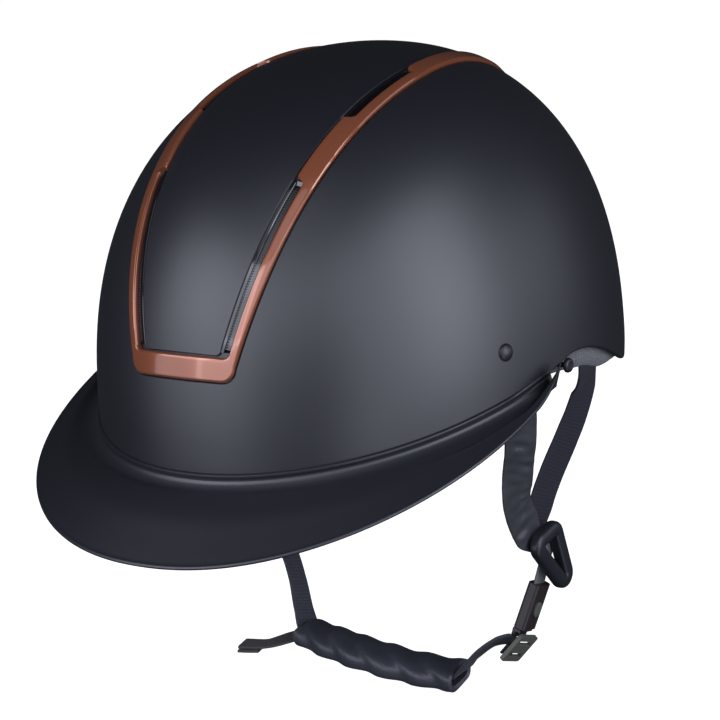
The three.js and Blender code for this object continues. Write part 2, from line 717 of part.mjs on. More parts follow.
// ---------------------------------------------------------------- rear fit system
// psi is measured round the cradle's centre from the rear, positive to the wearer's left.
function cradlePoint(psi, radius, z) {
  return vec(radius * Math.sin(psi), CRADLE.centreY + radius * Math.cos(psi), z);
}

function cradleArc(from, to, inner, outer, low, high, steps) {
  return warp(new THREE.BoxGeometry(1, 1, 1, steps, 1, 1), (p) => cradlePoint(
    mix(from, to, p.x + 0.5) * DEG, mix(inner, outer, p.y + 0.5), mix(low, high, p.z + 0.5),
  ));
}

// Each band is a short arm with a narrow rack end that runs over or under the pinion.
function cradleBand(side) {
  const [inner, outer] = [CRADLE.radius - CRADLE.thick / 2, CRADLE.radius + CRADLE.thick / 2];
  const half = CRADLE.height / 2;
  const arm = cradleArc(side * 19, side * 26, inner, outer, CRADLE.z - half, CRADLE.z + half, 4);
  const neckLow = CRADLE.z + (side > 0 ? half + 0.6 : -half - 4.4);
  const tail = cradleArc(side * -9, side * 22, inner, outer, neckLow, neckLow + 3.8, 8);
  const reach = [-half, half].map((h) => (h * side > 0 ? h + 4.4 * side : h));
  const bridge = cradleArc(side * 19, side * 22, inner, outer, CRADLE.z + reach[0],
    CRADLE.z + reach[1], 1);
  return join([arm, tail, bridge]);
}

function dialHousing() {
  const height = DIAL.housingHigh - DIAL.housingLow;
  const shell = roundedRect(2 * DIAL.housingX, height, 6);
  const block = new THREE.ExtrudeGeometry(shell, { depth: 9, bevelEnabled: false, curveSegments: 4 })
    .rotateX(90 * DEG).translate(0, CRADLE.centreY + 84.5, CRADLE.z);
  const track = cradleArc(-30, 30, 78.2, 81.8, CRADLE.z - 10.3, CRADLE.z + 10.3, 16);
  const well = new THREE.CylinderGeometry(6.2, 6.2, 4.6, 20).translate(0, CRADLE.centreY + 80.2, CRADLE.z);
  const bore = new THREE.CylinderGeometry(3, 3, 6, 16).translate(0, CRADLE.centreY + 84, CRADLE.z);
  return cut(block, [track, well, bore]);
}

function dialKnob() {
  const outline = new THREE.Shape();
  const scallops = 14;
  for (let i = 0; i < scallops * 4; i += 1) {
    const a = (i / (scallops * 4)) * 2 * Math.PI;
    const r = DIAL.radius - 0.7 + 0.7 * Math.cos(a * scallops);
    if (i === 0) outline.moveTo(r * Math.cos(a), r * Math.sin(a));
    else outline.lineTo(r * Math.cos(a), r * Math.sin(a));
  }
  const wheel = new THREE.ExtrudeGeometry(outline, { depth: 6, bevelEnabled: false })
    .rotateX(90 * DEG).translate(0, CRADLE.centreY + 91, CRADLE.z);
  const shaft = new THREE.CylinderGeometry(2.2, 2.2, 10, 14)
    .translate(0, CRADLE.centreY + 83.2, CRADLE.z);
  return join([wheel, shaft]);
}

function dialPinion() {
  const outline = new THREE.Shape();
  const teeth = 10;
  for (let i = 0; i < teeth * 2; i += 1) {
    const r = i % 2 ? DIAL.pinion - 1 : DIAL.pinion;
    const a = (i / (teeth * 2)) * 2 * Math.PI;
    if (i === 0) outline.moveTo(r, 0);
    else outline.lineTo(r * Math.cos(a), r * Math.sin(a));
  }
  const bore = new THREE.Path();
  bore.absarc(0, 0, 2.6, 0, 2 * Math.PI);
  outline.holes.push(bore);
  return new THREE.ExtrudeGeometry(outline, { depth: 3, bevelEnabled: false, curveSegments: 5 })
    .rotateX(90 * DEG).translate(0, CRADLE.centreY + 81.6, CRADLE.z);
}

// A springy plate that carries the dial housing below the nape.
const napeHanger = () => warp(new THREE.BoxGeometry(1, 1, 1, 2, 8, 1), (p) => {
  const t = p.y + 0.5;
  const y = CRADLE.centreY + 80 + 2 * t + 1.2 * p.z;
  return vec(mix(26, 40, t) * p.x, y - 3 * t * (1 - t), mix(DIAL.housingHigh + GAP, 12, t));
});

// ---------------------------------------------------------------- materials and assembly
const material = (color, roughness, metalness = 0) => new THREE.MeshStandardMaterial({
  color, roughness, metalness,
});
const MATERIALS = {
  shell: material('#14161c', 0.62),
  trim: material('#b5714f', 0.14, 1),
  gloss: material('#08090b', 0.12),
  foam: material('#1d1d20', 0.9),
  padding: material('#4a4c52', 0.8),
  leather: material('#26272f', 0.5),
  webbing: material('#1b1c24', 0.85),
  plastic: material('#1c1d24', 0.45),
  steel: material('#8d9094', 0.3, 1),
};

const helmet = new THREE.Group();
function add(name, geometry, finish) {
  const mesh = new THREE.Mesh(geometry, MATERIALS[finish]);
  mesh.name = name;
  helmet.add(mesh);
}

const SIDES = [['left', 1], ['right', -1]];
const above = (dz) => (theta) => shellEdgeZ(theta) + dz;

add('outer_shell', outerShell(), 'shell');
add('brim', brim(), 'shell');
add('trim_frame', trimFrame(), 'trim');
add('impact_liner', impactLiner(), 'foam');
add('crown_pad', domeLayer(PAD.outer, PAD.inner, () => 96, 24, 5), 'padding');
add('forehead_pad', domePatch(-52, 52, above(10), above(36), PAD.outer, PAD.inner), 'padding');
add('neck_pad', domePatch(128, 232, above(10), above(36), PAD.outer, PAD.inner), 'padding');
add('front_roll', rimRoll(-64, 64, -0.5, -7.5, -18, 5, 24), 'padding');
add('rear_roll', rimRoll(136, 224, 0, -7, -18.5, 5.6, 20), 'padding');

for (const [word, side] of SIDES) {
  SLOTS.forEach((slot) => add(`vent_grille_${slot.name}_${word}`, ventGrille(slot, side), 'gloss'));
  add(`temple_pad_${word}`, domePatch(58 * side, 112 * side, above(10), above(30), PAD.outer, PAD.inner, 8),
    'padding');
  add(`side_roll_${word}`, sideRoll(side), 'padding');
  add(`side_rivet_${word}`, rivet(side), 'gloss');
  add(`rivet_washer_${word}`, rivetWasher(side), 'steel');
  add(`liner_snap_${word}`, linerSnap(side), 'plastic');
  add(`front_strap_${word}`, frontStrap(side), 'leather');
  add(`rear_strap_${word}`, rearStrap(side), 'webbing');
  add(`divider_${word}`, divider(side), 'plastic');
  add(`cradle_band_${word}`, cradleBand(side), 'plastic');
}

add('buckle_strap', buckleStrap(), 'webbing');
add('buckle_housing', buckleHousing(), 'plastic');
add('release_button', releaseButton(), 'plastic');
add('button_spring', buttonSpring(), 'steel');
add('buckle_plug', bucklePlug(), 'plastic');
add('adjuster_slide', adjusterSlide(), 'plastic');
add('adjuster_loop', adjusterLoop(), 'webbing');
add('chin_webbing', chinWebbing(), 'webbing');
add('chin_cover', chinCover(), 'leather');
add('strap_tail', strapTail(), 'webbing');
add('tail_end', tailEnd(), 'webbing');
add('dial_housing', dialHousing(), 'plastic');
add('dial_knob', dialKnob(), 'plastic');
add('dial_pinion', dialPinion(), 'plastic');
add('nape_hanger', napeHanger(), 'plastic');

export default helmet;
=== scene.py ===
"""The looks of the riding helmet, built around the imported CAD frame.

Lengths are in mm until a mesh is made, and the stage is in metres. The numbers of the camera and of the
dome, seam, rail and brim formulas come from a least-squares fit, rounded.
"""

import math

import bpy
import numpy as np
from mathutils import Matrix, Vector


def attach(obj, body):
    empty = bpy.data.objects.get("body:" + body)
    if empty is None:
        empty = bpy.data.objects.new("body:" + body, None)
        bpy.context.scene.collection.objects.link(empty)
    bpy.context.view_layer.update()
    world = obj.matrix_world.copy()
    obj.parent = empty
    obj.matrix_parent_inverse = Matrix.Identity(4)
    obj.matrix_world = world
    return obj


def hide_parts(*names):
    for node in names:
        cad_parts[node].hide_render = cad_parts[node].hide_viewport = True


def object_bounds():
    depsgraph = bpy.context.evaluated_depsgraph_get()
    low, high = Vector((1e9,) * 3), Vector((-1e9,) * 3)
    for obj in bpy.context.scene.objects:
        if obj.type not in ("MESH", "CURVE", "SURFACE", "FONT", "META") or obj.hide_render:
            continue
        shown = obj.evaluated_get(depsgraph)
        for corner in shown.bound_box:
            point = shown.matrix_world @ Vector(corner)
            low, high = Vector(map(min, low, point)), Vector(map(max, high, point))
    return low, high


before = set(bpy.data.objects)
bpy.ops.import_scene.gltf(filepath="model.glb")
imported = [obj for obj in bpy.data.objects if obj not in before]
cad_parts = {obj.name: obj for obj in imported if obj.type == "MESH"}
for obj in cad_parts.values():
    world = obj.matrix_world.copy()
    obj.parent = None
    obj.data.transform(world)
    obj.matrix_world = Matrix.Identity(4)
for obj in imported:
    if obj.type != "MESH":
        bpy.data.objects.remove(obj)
cad_low, cad_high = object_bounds()

MM = 0.001
DOME = dict(half_width=106.4, front_length=134, back_length=131.5, height=139.2,
            front_power=2.34, back_power=2.19, side_power=2.35, plan_power=2.05, lean=0.054, tuck=0.025)
SHELL_WALL = 2.5
RAIL_START, RAIL_SPAN = 12, 120          # side-view angles of the rail stations, degrees
BAR_LOW, BAR_HIGH = 0.028, 0.064         # stations of the crossbar's two edges
STATION = 280                            # mm of dome per unit of rail station
SLOTS = {"front": (0.074, 0.345), "rear": (0.491, 0.655)}
SLOT_WIDTH = 3.4
GAP = 0.35
CHANNEL_DEPTH = 1.25
RIVET_ANGLE, RIVET_Z = 72.9, 26.1        # degrees round the dome, and height
SNAP_ANGLE, SNAP_Z = 90.2, 7.6
FRONT_STRAP_OFFSET = -4.1                # under the shell, where the front strap is riveted
REAR_STRAP_ANGLE, REAR_STRAP_OFFSET = 102, -6.5
RNG = np.random.default_rng(7)


# ---------------------------------------------------------------- camera
def make_camera():
    target = np.array([0, 0, 60.0])
    azimuth, elevation, roll = np.radians([36.76, 15.64, -6.77])
    distance, focal = 1474.0, 4.66597          # mm, and picture widths
    shift = np.array([0.011528, 0.178194])     # from the target to the middle, in picture widths
    back = np.array([math.sin(azimuth) * math.cos(elevation), -math.cos(azimuth) * math.cos(elevation),
                     math.sin(elevation)])
    level = np.array([math.cos(azimuth), math.sin(azimuth), 0])
    upright = np.cross(back, level)
    right = math.cos(roll) * level + math.sin(roll) * upright
    up = -math.sin(roll) * level + math.cos(roll) * upright
    off = shift / focal
    ahead = -back + right * off[0] - up * off[1]
    z_axis = Vector(-ahead).normalized()
    x_axis = (Vector(right) - z_axis * Vector(right).dot(z_axis)).normalized()
    camera = bpy.data.objects.new("camera", bpy.data.cameras.new("camera"))
    bpy.context.scene.collection.objects.link(camera)
    rotation = Matrix((x_axis, z_axis.cross(x_axis), z_axis)).transposed()
    camera.matrix_world = Matrix.Translation(Vector((target + back * distance) * MM)) @ rotation.to_4x4()
    camera.data.lens = focal * camera.data.sensor_width
    camera.data.clip_start, camera.data.clip_end = 0.05, 50
    bpy.context.scene.camera = camera


make_camera()


# ---------------------------------------------------------------- maths
def signed_power(v, p):
    return np.sign(v) * np.abs(v) ** p


def mix(a, b, t):
    return a + (b - a) * t


def smooth(a, b, t):
    t = np.clip((np.asarray(t, float) - a) / (b - a), 0, 1)
    return t * t * (3 - 2 * t)


def unit(v):
    return v / np.maximum(np.linalg.norm(v, axis=-1, keepdims=True), 1e-12)


def rounded(s, m):
    return np.maximum(0, 1 - s ** m) ** (1 / m)


# ---------------------------------------------------------------- head form
def dome_axes(z, front):
    s = np.clip(z / DOME["height"], 0, 1)
    length = np.where(front, DOME["front_length"], DOME["back_length"])
    end = np.where(front, rounded(s, DOME["front_power"]), rounded(s, DOME["back_power"]))
    below = np.where(z < 0, 1 - DOME["tuck"] * (z / DOME["height"] / 0.2) ** 2, 1)
    return DOME["half_width"] * rounded(s, DOME["side_power"]) * below, length * end * below


def dome_point(theta, z):
    theta, z = np.broadcast_arrays(np.asarray(theta, float), np.asarray(z, float))
    a, b = dome_axes(z, np.cos(theta) > 0)
    power = 2 / DOME["plan_power"]
    x = a * signed_power(np.sin(theta), power)
    y = -b * signed_power(np.cos(theta), power) + DOME["lean"] * z
    return np.stack([x, y, z], -1)


def dome_normal(theta, z):
    step, height = 0.004, DOME["height"]
    beta = np.maximum(0.03, np.arccos(np.clip(z / height, -1, 1)))
    level = height * np.cos(beta)
    down = dome_point(theta, height * np.cos(beta + step)) - dome_point(theta, height * np.cos(beta - step))
    around = dome_point(theta + step, level) - dome_point(theta - step, level)
    return unit(np.cross(down, around))


def on_dome(theta, z, offset):
    theta, z, offset = np.broadcast_arrays(*(np.asarray(v, float) for v in (theta, z, offset)))
    normal = np.where((z > DOME["height"] * 0.9995)[..., None], [0, 0, 1.0], dome_normal(theta, z))
    return dome_point(theta, z) + normal * offset[..., None]


def dome_theta(x, y, z):
    ahead = y - DOME["lean"] * z
    a, b = dome_axes(np.minimum(z, DOME["height"] * 0.99999), ahead < 0)
    half = DOME["plan_power"] / 2
    return np.arctan2(signed_power(x / a, half), signed_power(-ahead / b, half))


def wrap_degrees(theta):
    return np.degrees(np.abs(np.arctan2(np.sin(theta), np.cos(theta))))


def seam_z(theta):
    return 14.5 - 21 * np.cos(theta) + 2.2 * np.cos(2 * theta)


def shell_edge(theta):
    t = wrap_degrees(theta)
    front = seam_z(np.radians(np.minimum(t, 86))) - 14 * (1 - smooth(62, 84, t))
    back = 13.2 - 27 * smooth(91, 127, t) - 10 * smooth(125, 172, t)
    return mix(front, back, smooth(84, 92, t))


def rail_outer(u):
    return 22.1 + 83.8 * u - 75 * u * u


def rail_inner(u):
    return 14.6 + 78.9 * u - 69.3 * u * u


def trim_inner(u):
    ramp = 0.008
    step = sum(smooth(a - ramp, a, u) * (1 - smooth(b, b + ramp, u)) for a, b in SLOTS.values())
    return rail_inner(u) + GAP + (SLOT_WIDTH + GAP / 2) * step


def rail_point(c, u, offset):
    """Points of the dome at signed distances c from the middle plane and rail stations u."""
    c, u, offset = np.broadcast_arrays(*(np.asarray(v, float) for v in (c, u, offset)))
    phi = np.radians(RAIL_START + RAIL_SPAN * u)
    low, high = np.full(c.shape, 5.0), np.full(c.shape, 260.0)
    for _ in range(40):
        r = (low + high) / 2
        y, z = -r * np.cos(phi), r * np.sin(phi)
        ahead = y - DOME["lean"] * z
        a, b = dome_axes(np.minimum(z, DOME["height"] * 0.999999), ahead < 0)
        inside = (np.abs(c) / a) ** DOME["plan_power"] + (np.abs(ahead) / b) ** DOME["plan_power"] < 1
        inside &= z < DOME["height"]
        low, high = np.where(inside, r, low), np.where(inside, high, r)
    y, z = -low * np.cos(phi), low * np.sin(phi)
    return on_dome(dome_theta(c, y, z), z, offset)


# ---------------------------------------------------------------- mesh building
def grid_mesh(name, points, ring=True, loop=False, uv=None, extra=None):
    """A mesh from points[row, column].

    ring joins the last column to the first, and loop the last row to the first. A ring that isn't a loop
    gets end caps. uv is (one value per row, one per column and one more). extra is (vertices, faces) in a
    second material.
    """
    points = np.asarray(points, float)
    rows, cols = points.shape[:2]
    r_count, c_count = (rows if loop else rows - 1), (cols if ring else cols - 1)
    r, c = (g.ravel() for g in np.meshgrid(np.arange(r_count), np.arange(c_count), indexing="ij"))
    r_next, c_next = (r + 1) % rows, (c + 1) % cols
    quads = np.stack([r * cols + c, r_next * cols + c, r_next * cols + c_next, r * cols + c_next], 1)
    faces = quads.tolist()
    verts = points.reshape(-1, 3)
    if ring and not loop:
        first, last = list(range(cols)), list(range((rows - 1) * cols, rows * cols))
        faces += [first, last[::-1]]
    tri = np.concatenate([quads[:, [0, 1, 2]], quads[:, [0, 2, 3]]])
    a, b, c3 = (verts[tri[:, k]] - verts.mean(0) for k in range(3))
    flipped = np.einsum("ij,ij->i", a, np.cross(b, c3)).sum() < 0
    if flipped:
        faces = [f[::-1] for f in faces]
    main_faces = len(faces)
    if extra is not None:
        faces += [[i + len(verts) for i in f] for f in extra[1]]
        verts = np.vstack([verts, extra[0]])
    mesh = bpy.data.meshes.new(name)
    mesh.from_pydata((verts * MM).tolist(), [], faces)
    if uv is not None:
        along, across = (np.asarray(v, float) for v in uv)
        u_next = np.append(along, along[-1] + (along[-1] - along[-2]))[r + 1]
        near, far = across[c], across[c + 1]
        pairs = (along[r], near), (u_next, near), (u_next, far), (along[r], far)
        corners = np.stack([np.stack(pair, -1) for pair in pairs], 1)
        if flipped:
            corners = corners[:, ::-1]
        flat = np.zeros((len(mesh.loops), 2), np.float32)
        flat[:corners.shape[0] * 4] = corners.reshape(-1, 2) * 0.1
        mesh.uv_layers.new(name="UVMap").data.foreach_set("uv", flat.ravel())
    if extra is not None:
        index = np.zeros(len(mesh.polygons), np.int32)
        index[main_faces:] = 1
        mesh.polygons.foreach_set("material_index", index)
    mesh.validate()
    return mesh


def piece(name, mesh, body, materials, nodes=(), sharp=40):
    """Adds a mesh as a named piece that rides on a body and stands for CAD nodes."""
    obj = bpy.data.objects.new(name, mesh)
    bpy.context.scene.collection.objects.link(obj)
    for m in materials:
        mesh.materials.append(MATERIALS[m])
    mesh.shade_smooth()
    mesh.set_sharp_from_angle(angle=math.radians(sharp))
    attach(obj, body)
    if nodes:
        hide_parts(*nodes)


def spline(controls, per):
    """A smooth line through controls[k, ...], with per steps between neighbours."""
    p = np.asarray(controls, float)
    ext = np.concatenate([[2 * p[0] - p[1]], p, [2 * p[-1] - p[-2]]])
    w = np.linspace(0, 1, per, endpoint=False).reshape(-1, *([1] * (p.ndim - 1)))
    out = []
    for i in range(len(p) - 1):
        p0, p1, p2, p3 = ext[i:i + 4]
        out.append(0.5 * (2 * p1 + (p2 - p0) * w + (2 * p0 - 5 * p1 + 4 * p2 - p3) * w ** 2
                          + (3 * p1 - p0 - 3 * p2 + p3) * w ** 3))
    return np.concatenate([*out, p[-1:]])


def centripetal(points, t):
    """The centripetal Catmull-Rom curve that the CAD sweeps along."""
    p = np.asarray(points, float)
    at = np.clip(t, 0, 1) * (len(p) - 1)
    i = np.minimum(np.floor(at).astype(int), len(p) - 2)
    w = (at - i)[:, None]
    ext = np.vstack([2 * p[0] - p[1], p, 2 * p[-1] - p[-2]])
    p0, p1, p2, p3 = ext[i], ext[i + 1], ext[i + 2], ext[i + 3]
    d0, d1, d2 = (np.linalg.norm(b - a, axis=1, keepdims=True) ** 0.5 for a, b in
                  ((p0, p1), (p1, p2), (p2, p3)))
    m1 = ((p1 - p0) / d0 - (p2 - p0) / (d0 + d1) + (p2 - p1) / d1) * d1
    m2 = ((p2 - p1) / d1 - (p3 - p1) / (d1 + d2) + (p3 - p2) / d2) * d1
    return p1 + m1 * w + (3 * (p2 - p1) - 2 * m1 - m2) * w ** 2 + (2 * (p1 - p2) + m1 + m2) * w ** 3


class Route:
    """A swept line with its frames: point, across and outward normal at each step."""

    def __init__(self, stations, steps):
        stations = np.asarray(stations, float)
        t = np.linspace(0, 1, steps + 1)
        self.point = centripetal(stations[:, :3], t)
        ahead, behind = (centripetal(stations[:, :3], np.clip(t + d, 0, 1)) for d in (1e-3, -1e-3))
        self.tangent = unit(ahead - behind)
        at = t * (len(stations) - 1)
        i = np.minimum(np.floor(at).astype(int), len(stations) - 2)
        normals = unit(stations[:, 3:])
        n = mix(normals[i], normals[i + 1], (at - i)[:, None])
        self.normal = unit(n - self.tangent * np.sum(n * self.tangent, 1, keepdims=True))
        self.across = np.cross(self.tangent, self.normal)
        self.along = np.concatenate([[0], np.cumsum(np.linalg.norm(np.diff(self.point, axis=0), axis=1))])

    def place(self, x, y):
        """Points at widths x[row, column] and heights y[row, column]."""
        x, y = np.broadcast_arrays(x, y)
        return (self.point[:, None] + self.across[:, None] * x[..., None]
                + self.normal[:, None] * y[..., None])


def band_section(width, thick, flat_steps=14):
    """A flat band with rounded edges, as (x, y) going round once."""
    r = thick / 2
    arc = np.linspace(-90, 90, 7)[1:-1] * math.pi / 180
    xs = np.linspace(-(width / 2 - r), width / 2 - r, flat_steps)
    right = np.stack([width / 2 - r + r * np.cos(arc), r * np.sin(arc)], 1)
    left = np.stack([-(width / 2 - r) - r * np.cos(arc), -r * np.sin(arc)], 1)
    low, high = (np.stack([xs[::s], np.full(flat_steps, s * -r)], 1) for s in (1, -1))
    return np.concatenate([low, right, high, left])


def capsules(centres, directions, normals, length, radius):
    """Small round-ended stitches, as vertices and faces."""
    turn = np.linspace(0, 2 * math.pi, 6, endpoint=False)
    verts, faces = [], []
    for p, d, n in zip(centres, directions, normals):
        side = np.cross(d, n)
        base = len(verts)
        for along, size in ((-0.5, 0.3), (-0.36, 1), (0.36, 1), (0.5, 0.3)):
            verts += [p + d * along * length + (side * math.cos(a) + n * math.sin(a)) * radius * size
                      for a in turn]
        for ring in range(3):
            for k in range(6):
                m = (k + 1) % 6
                faces.append([base + ring * 6 + k, base + ring * 6 + m, base + ring * 6 + 6 + m,
                              base + ring * 6 + 6 + k])
        faces += [[base + k for k in range(5, -1, -1)], [base + 18 + k for k in range(6)]]
    return np.array(verts), faces


def stitch_rows(route, inset, height, pitch=2.9):
    """Stitches along a route at widths of plus and minus inset."""
    places = np.arange(pitch / 2, route.along[-1], pitch)
    rows = [np.stack([np.interp(places, route.along, v[:, k]) for k in range(3)], 1)
            for v in (route.point, route.tangent, route.across, route.normal)]
    point, tangent, across, normal = rows
    spots = np.concatenate([point + across * inset * s + normal * height for s in (1, -1)])
    directions, normals = (np.tile(unit(v), (2, 1)) for v in (tangent, normal))
    return capsules(spots, directions, normals, 2.1, 0.24)


def lathe(profile, origin, axis, steps=40):
    """Spins a profile of (radius, height) round an axis."""
    axis = unit(np.asarray(axis, float))
    side = unit(np.cross(axis, [0.3, 0.2, 1.0]))
    other = np.cross(axis, side)
    turn = np.linspace(0, 2 * math.pi, steps, endpoint=False)
    wheel = side * np.cos(turn)[:, None] + other * np.sin(turn)[:, None]
    return np.array([np.asarray(origin) + wheel * r + axis * h for r, h in profile])


# ---------------------------------------------------------------- materials
def node_of(tree, kind, **inputs):
    node = tree.nodes.new(kind)
    for key, value in inputs.items():
        node.inputs[key.replace("_", " ")].default_value = value
    return node


def make_material(name, color, roughness, metallic=0.0, specular=0.5, coat=0.0, sheen=0.0, bump=None,
                  weave=None, grain=None, mottle=None):
    """A principled surface.

    bump is (scale, strength, distance), and grain is the same for leather-like cells. weave is (pitch across
    in mm, pitch along in mm, strength), and mottle is (scale, darkest share of the colour).
    """
    material = bpy.data.materials.new(name)
    material.use_nodes = True
    tree = material.node_tree
    shader = tree.nodes["Principled BSDF"]
    shader.inputs["Base Color"].default_value = (*color, 1)
    shader.inputs["Roughness"].default_value = roughness
    shader.inputs["Metallic"].default_value = metallic
    shader.inputs["Specular IOR Level"].default_value = specular
    shader.inputs["Coat Weight"].default_value = coat
    shader.inputs["Coat Roughness"].default_value = 0.06
    shader.inputs["Sheen Weight"].default_value = sheen
    shader.inputs["Sheen Roughness"].default_value = 0.45
    place = tree.nodes.new("ShaderNodeTexCoord")
    normal = None

    def add_bump(height, strength, distance):
        nonlocal normal
        node = node_of(tree, "ShaderNodeBump", Strength=strength, Distance=distance * MM)
        tree.links.new(height, node.inputs["Height"])
        if normal is not None:
            tree.links.new(normal, node.inputs["Normal"])
        normal = node.outputs["Normal"]

    if bump:
        noise = node_of(tree, "ShaderNodeTexNoise", Scale=bump[0], Detail=3.0)
        tree.links.new(place.outputs["Object"], noise.inputs["Vector"])
        add_bump(noise.outputs["Fac"], bump[1], bump[2])
    if grain:
        cells = node_of(tree, "ShaderNodeTexVoronoi", Scale=grain[0])
        cells.feature = "SMOOTH_F1"
        tree.links.new(place.outputs["Object"], cells.inputs["Vector"])
        add_bump(cells.outputs["Distance"], grain[1], grain[2])
    if weave:
        for direction, pitch in (("Y", weave[0]), ("X", weave[1])):
            wave = node_of(tree, "ShaderNodeTexWave", Scale=10 / pitch * 0.314 / 2, Distortion=0.35,
                           Detail=1.0)
            wave.bands_direction = direction
            tree.links.new(place.outputs["UV"], wave.inputs["Vector"])
            add_bump(wave.outputs["Fac"], weave[2], 0.25)
    if mottle:
        noise = node_of(tree, "ShaderNodeTexNoise", Scale=mottle[0], Detail=4.0)
        tree.links.new(place.outputs["Object"], noise.inputs["Vector"])
        ramp = tree.nodes.new("ShaderNodeValToRGB")
        ramp.color_ramp.elements[0].position = 0.35
        ramp.color_ramp.elements[1].position = 0.65
        ramp.color_ramp.elements[0].color = (*[v * mottle[1] for v in color], 1)
        ramp.color_ramp.elements[1].color = (*color, 1)
        tree.links.new(noise.outputs["Fac"], ramp.inputs["Fac"])
        tree.links.new(ramp.outputs["Color"], shader.inputs["Base Color"])
    if normal is not None:
        tree.links.new(normal, shader.inputs["Normal"])
    return material


MATERIALS = {
    "shell": make_material("shell", (0.0095, 0.0102, 0.0145), 0.42, specular=0.8, bump=(2600, 0.05, 0.05)),
    "copper": make_material("copper", (0.30, 0.094, 0.046), 0.2, metallic=0.4, coat=1.0,
                            bump=(90, 0.03, 0.3)),
    "gloss": make_material("gloss", (0.006, 0.006, 0.008), 0.12, coat=0.6, bump=(200, 0.02, 0.2)),
    "foam": make_material("foam", (0.016, 0.016, 0.018), 0.9, grain=(330, 0.5, 0.6), mottle=(60, 0.7)),
    "knit": make_material("knit", (0.15, 0.152, 0.165), 0.9, sheen=0.15, weave=(0.7, 0.55, 0.5),
                          mottle=(1500, 0.45)),
    "lining": make_material("lining", (0.03, 0.031, 0.036), 0.85, sheen=0.2, weave=(0.9, 0.9, 0.5),
                            mottle=(600, 0.7)),
    "leather": make_material("leather", (0.050, 0.052, 0.060), 0.30, specular=0.8, grain=(1500, 0.2, 0.15),
                             bump=(130, 0.5, 0.9), mottle=(90, 0.8)),
    "chin_leather": make_material("chin_leather", (0.045, 0.048, 0.062), 0.45, grain=(1300, 0.45, 0.25),
                                  bump=(120, 0.3, 0.7), mottle=(80, 0.8)),
    "webbing": make_material("webbing", (0.007, 0.007, 0.015), 0.75, sheen=0.05, weave=(0.6, 0.8, 0.3),
                             mottle=(900, 0.85)),
    "chin_webbing": make_material("chin_webbing", (0.034, 0.036, 0.050), 0.7, sheen=0.1,
                                  weave=(0.6, 0.8, 0.4), mottle=(900, 0.8)),
    "tail_webbing": make_material("tail_webbing", (0.052, 0.049, 0.047), 0.65, sheen=0.1,
                                  weave=(0.6, 0.8, 0.4), mottle=(900, 0.75)),
    "grey_webbing": make_material("grey_webbing", (0.13, 0.13, 0.135), 0.75, sheen=0.1,
                                  weave=(0.6, 0.8, 0.5), mottle=(900, 0.75)),
    "thread": make_material("thread", (0.030, 0.031, 0.042), 0.6, sheen=0.1, bump=(3000, 0.3, 0.1)),
    "buckle": make_material("buckle", (0.022, 0.0165, 0.0175), 0.4, bump=(1500, 0.1, 0.1)),
    "plastic": make_material("plastic", (0.013, 0.0135, 0.018), 0.38, bump=(1500, 0.08, 0.1)),
    "button": make_material("button", (0.085, 0.085, 0.072), 0.42, bump=(1200, 0.1, 0.1)),
    "steel": make_material("steel", (0.42, 0.42, 0.43), 0.3, metallic=1, bump=(700, 0.06, 0.1)),
}


# ---------------------------------------------------------------- shell and trim
def frame_half(inner_edge, rail=150, corner=12, bar=24, tip=0.0):
    """One half of the U-shaped frame, as outer and inner (c, u) pairs from a rail's end to the middle."""
    outer_c, outer_u, inner_c, inner_u = 6, 0.022, 3, 0.011
    t = np.linspace(0, 1, rail + 1)
    end = 1 + tip
    u_out, u_in = mix(end, BAR_LOW + outer_u, t), mix(end, BAR_HIGH + inner_u, t)
    taper = 1 - 0.8 * smooth(0.86, 1, 1 - t)
    centre = (rail_outer(u_out) + inner_edge(u_in)) / 2
    outer = [np.stack([mix(centre, rail_outer(u_out), taper), u_out], 1)]
    inner = [np.stack([mix(centre, inner_edge(u_in), taper), u_in], 1)]
    a = np.radians(np.linspace(0, 90, corner + 1)[1:])
    for rows, edge, low, size_c, size_u in ((outer, rail_outer, BAR_LOW, outer_c, outer_u),
                                            (inner, inner_edge, BAR_HIGH, inner_c, inner_u)):
        start = edge(low + size_u)
        rows.append(np.stack([start - size_c * (1 - np.cos(a)), low + size_u * (1 - np.sin(a))], 1))
        fall = 1 - np.linspace(0, 1, bar + 1)[1:]
        rows.append(np.stack([(start - size_c) * fall, np.full(bar, low)], 1))
    return np.concatenate(outer), np.concatenate(inner)


def frame_rings(inner_edge, profile, tip=0.0):
    """The frame's rings of points.

    profile holds (side, margin, offset). Side 0 is the outer edge and 1 the inner, and the margin is
    measured inward from that edge.
    """
    outer, inner = frame_half(inner_edge, tip=tip)
    flip = np.array([-1, 1])
    outer = np.concatenate([outer, outer[-2::-1] * flip])
    inner = np.concatenate([inner, inner[-2::-1] * flip])
    width = np.hypot(outer[:, 0] - inner[:, 0], (outer[:, 1] - inner[:, 1]) * STATION)
    rings = []
    for side, margin, offset in profile:
        share = margin / width if side == 0 else 1 - margin / width
        at = outer + (inner - outer) * share[:, None]
        rings.append(rail_point(at[:, 0], at[:, 1], offset))
    return np.stack(rings, 1)


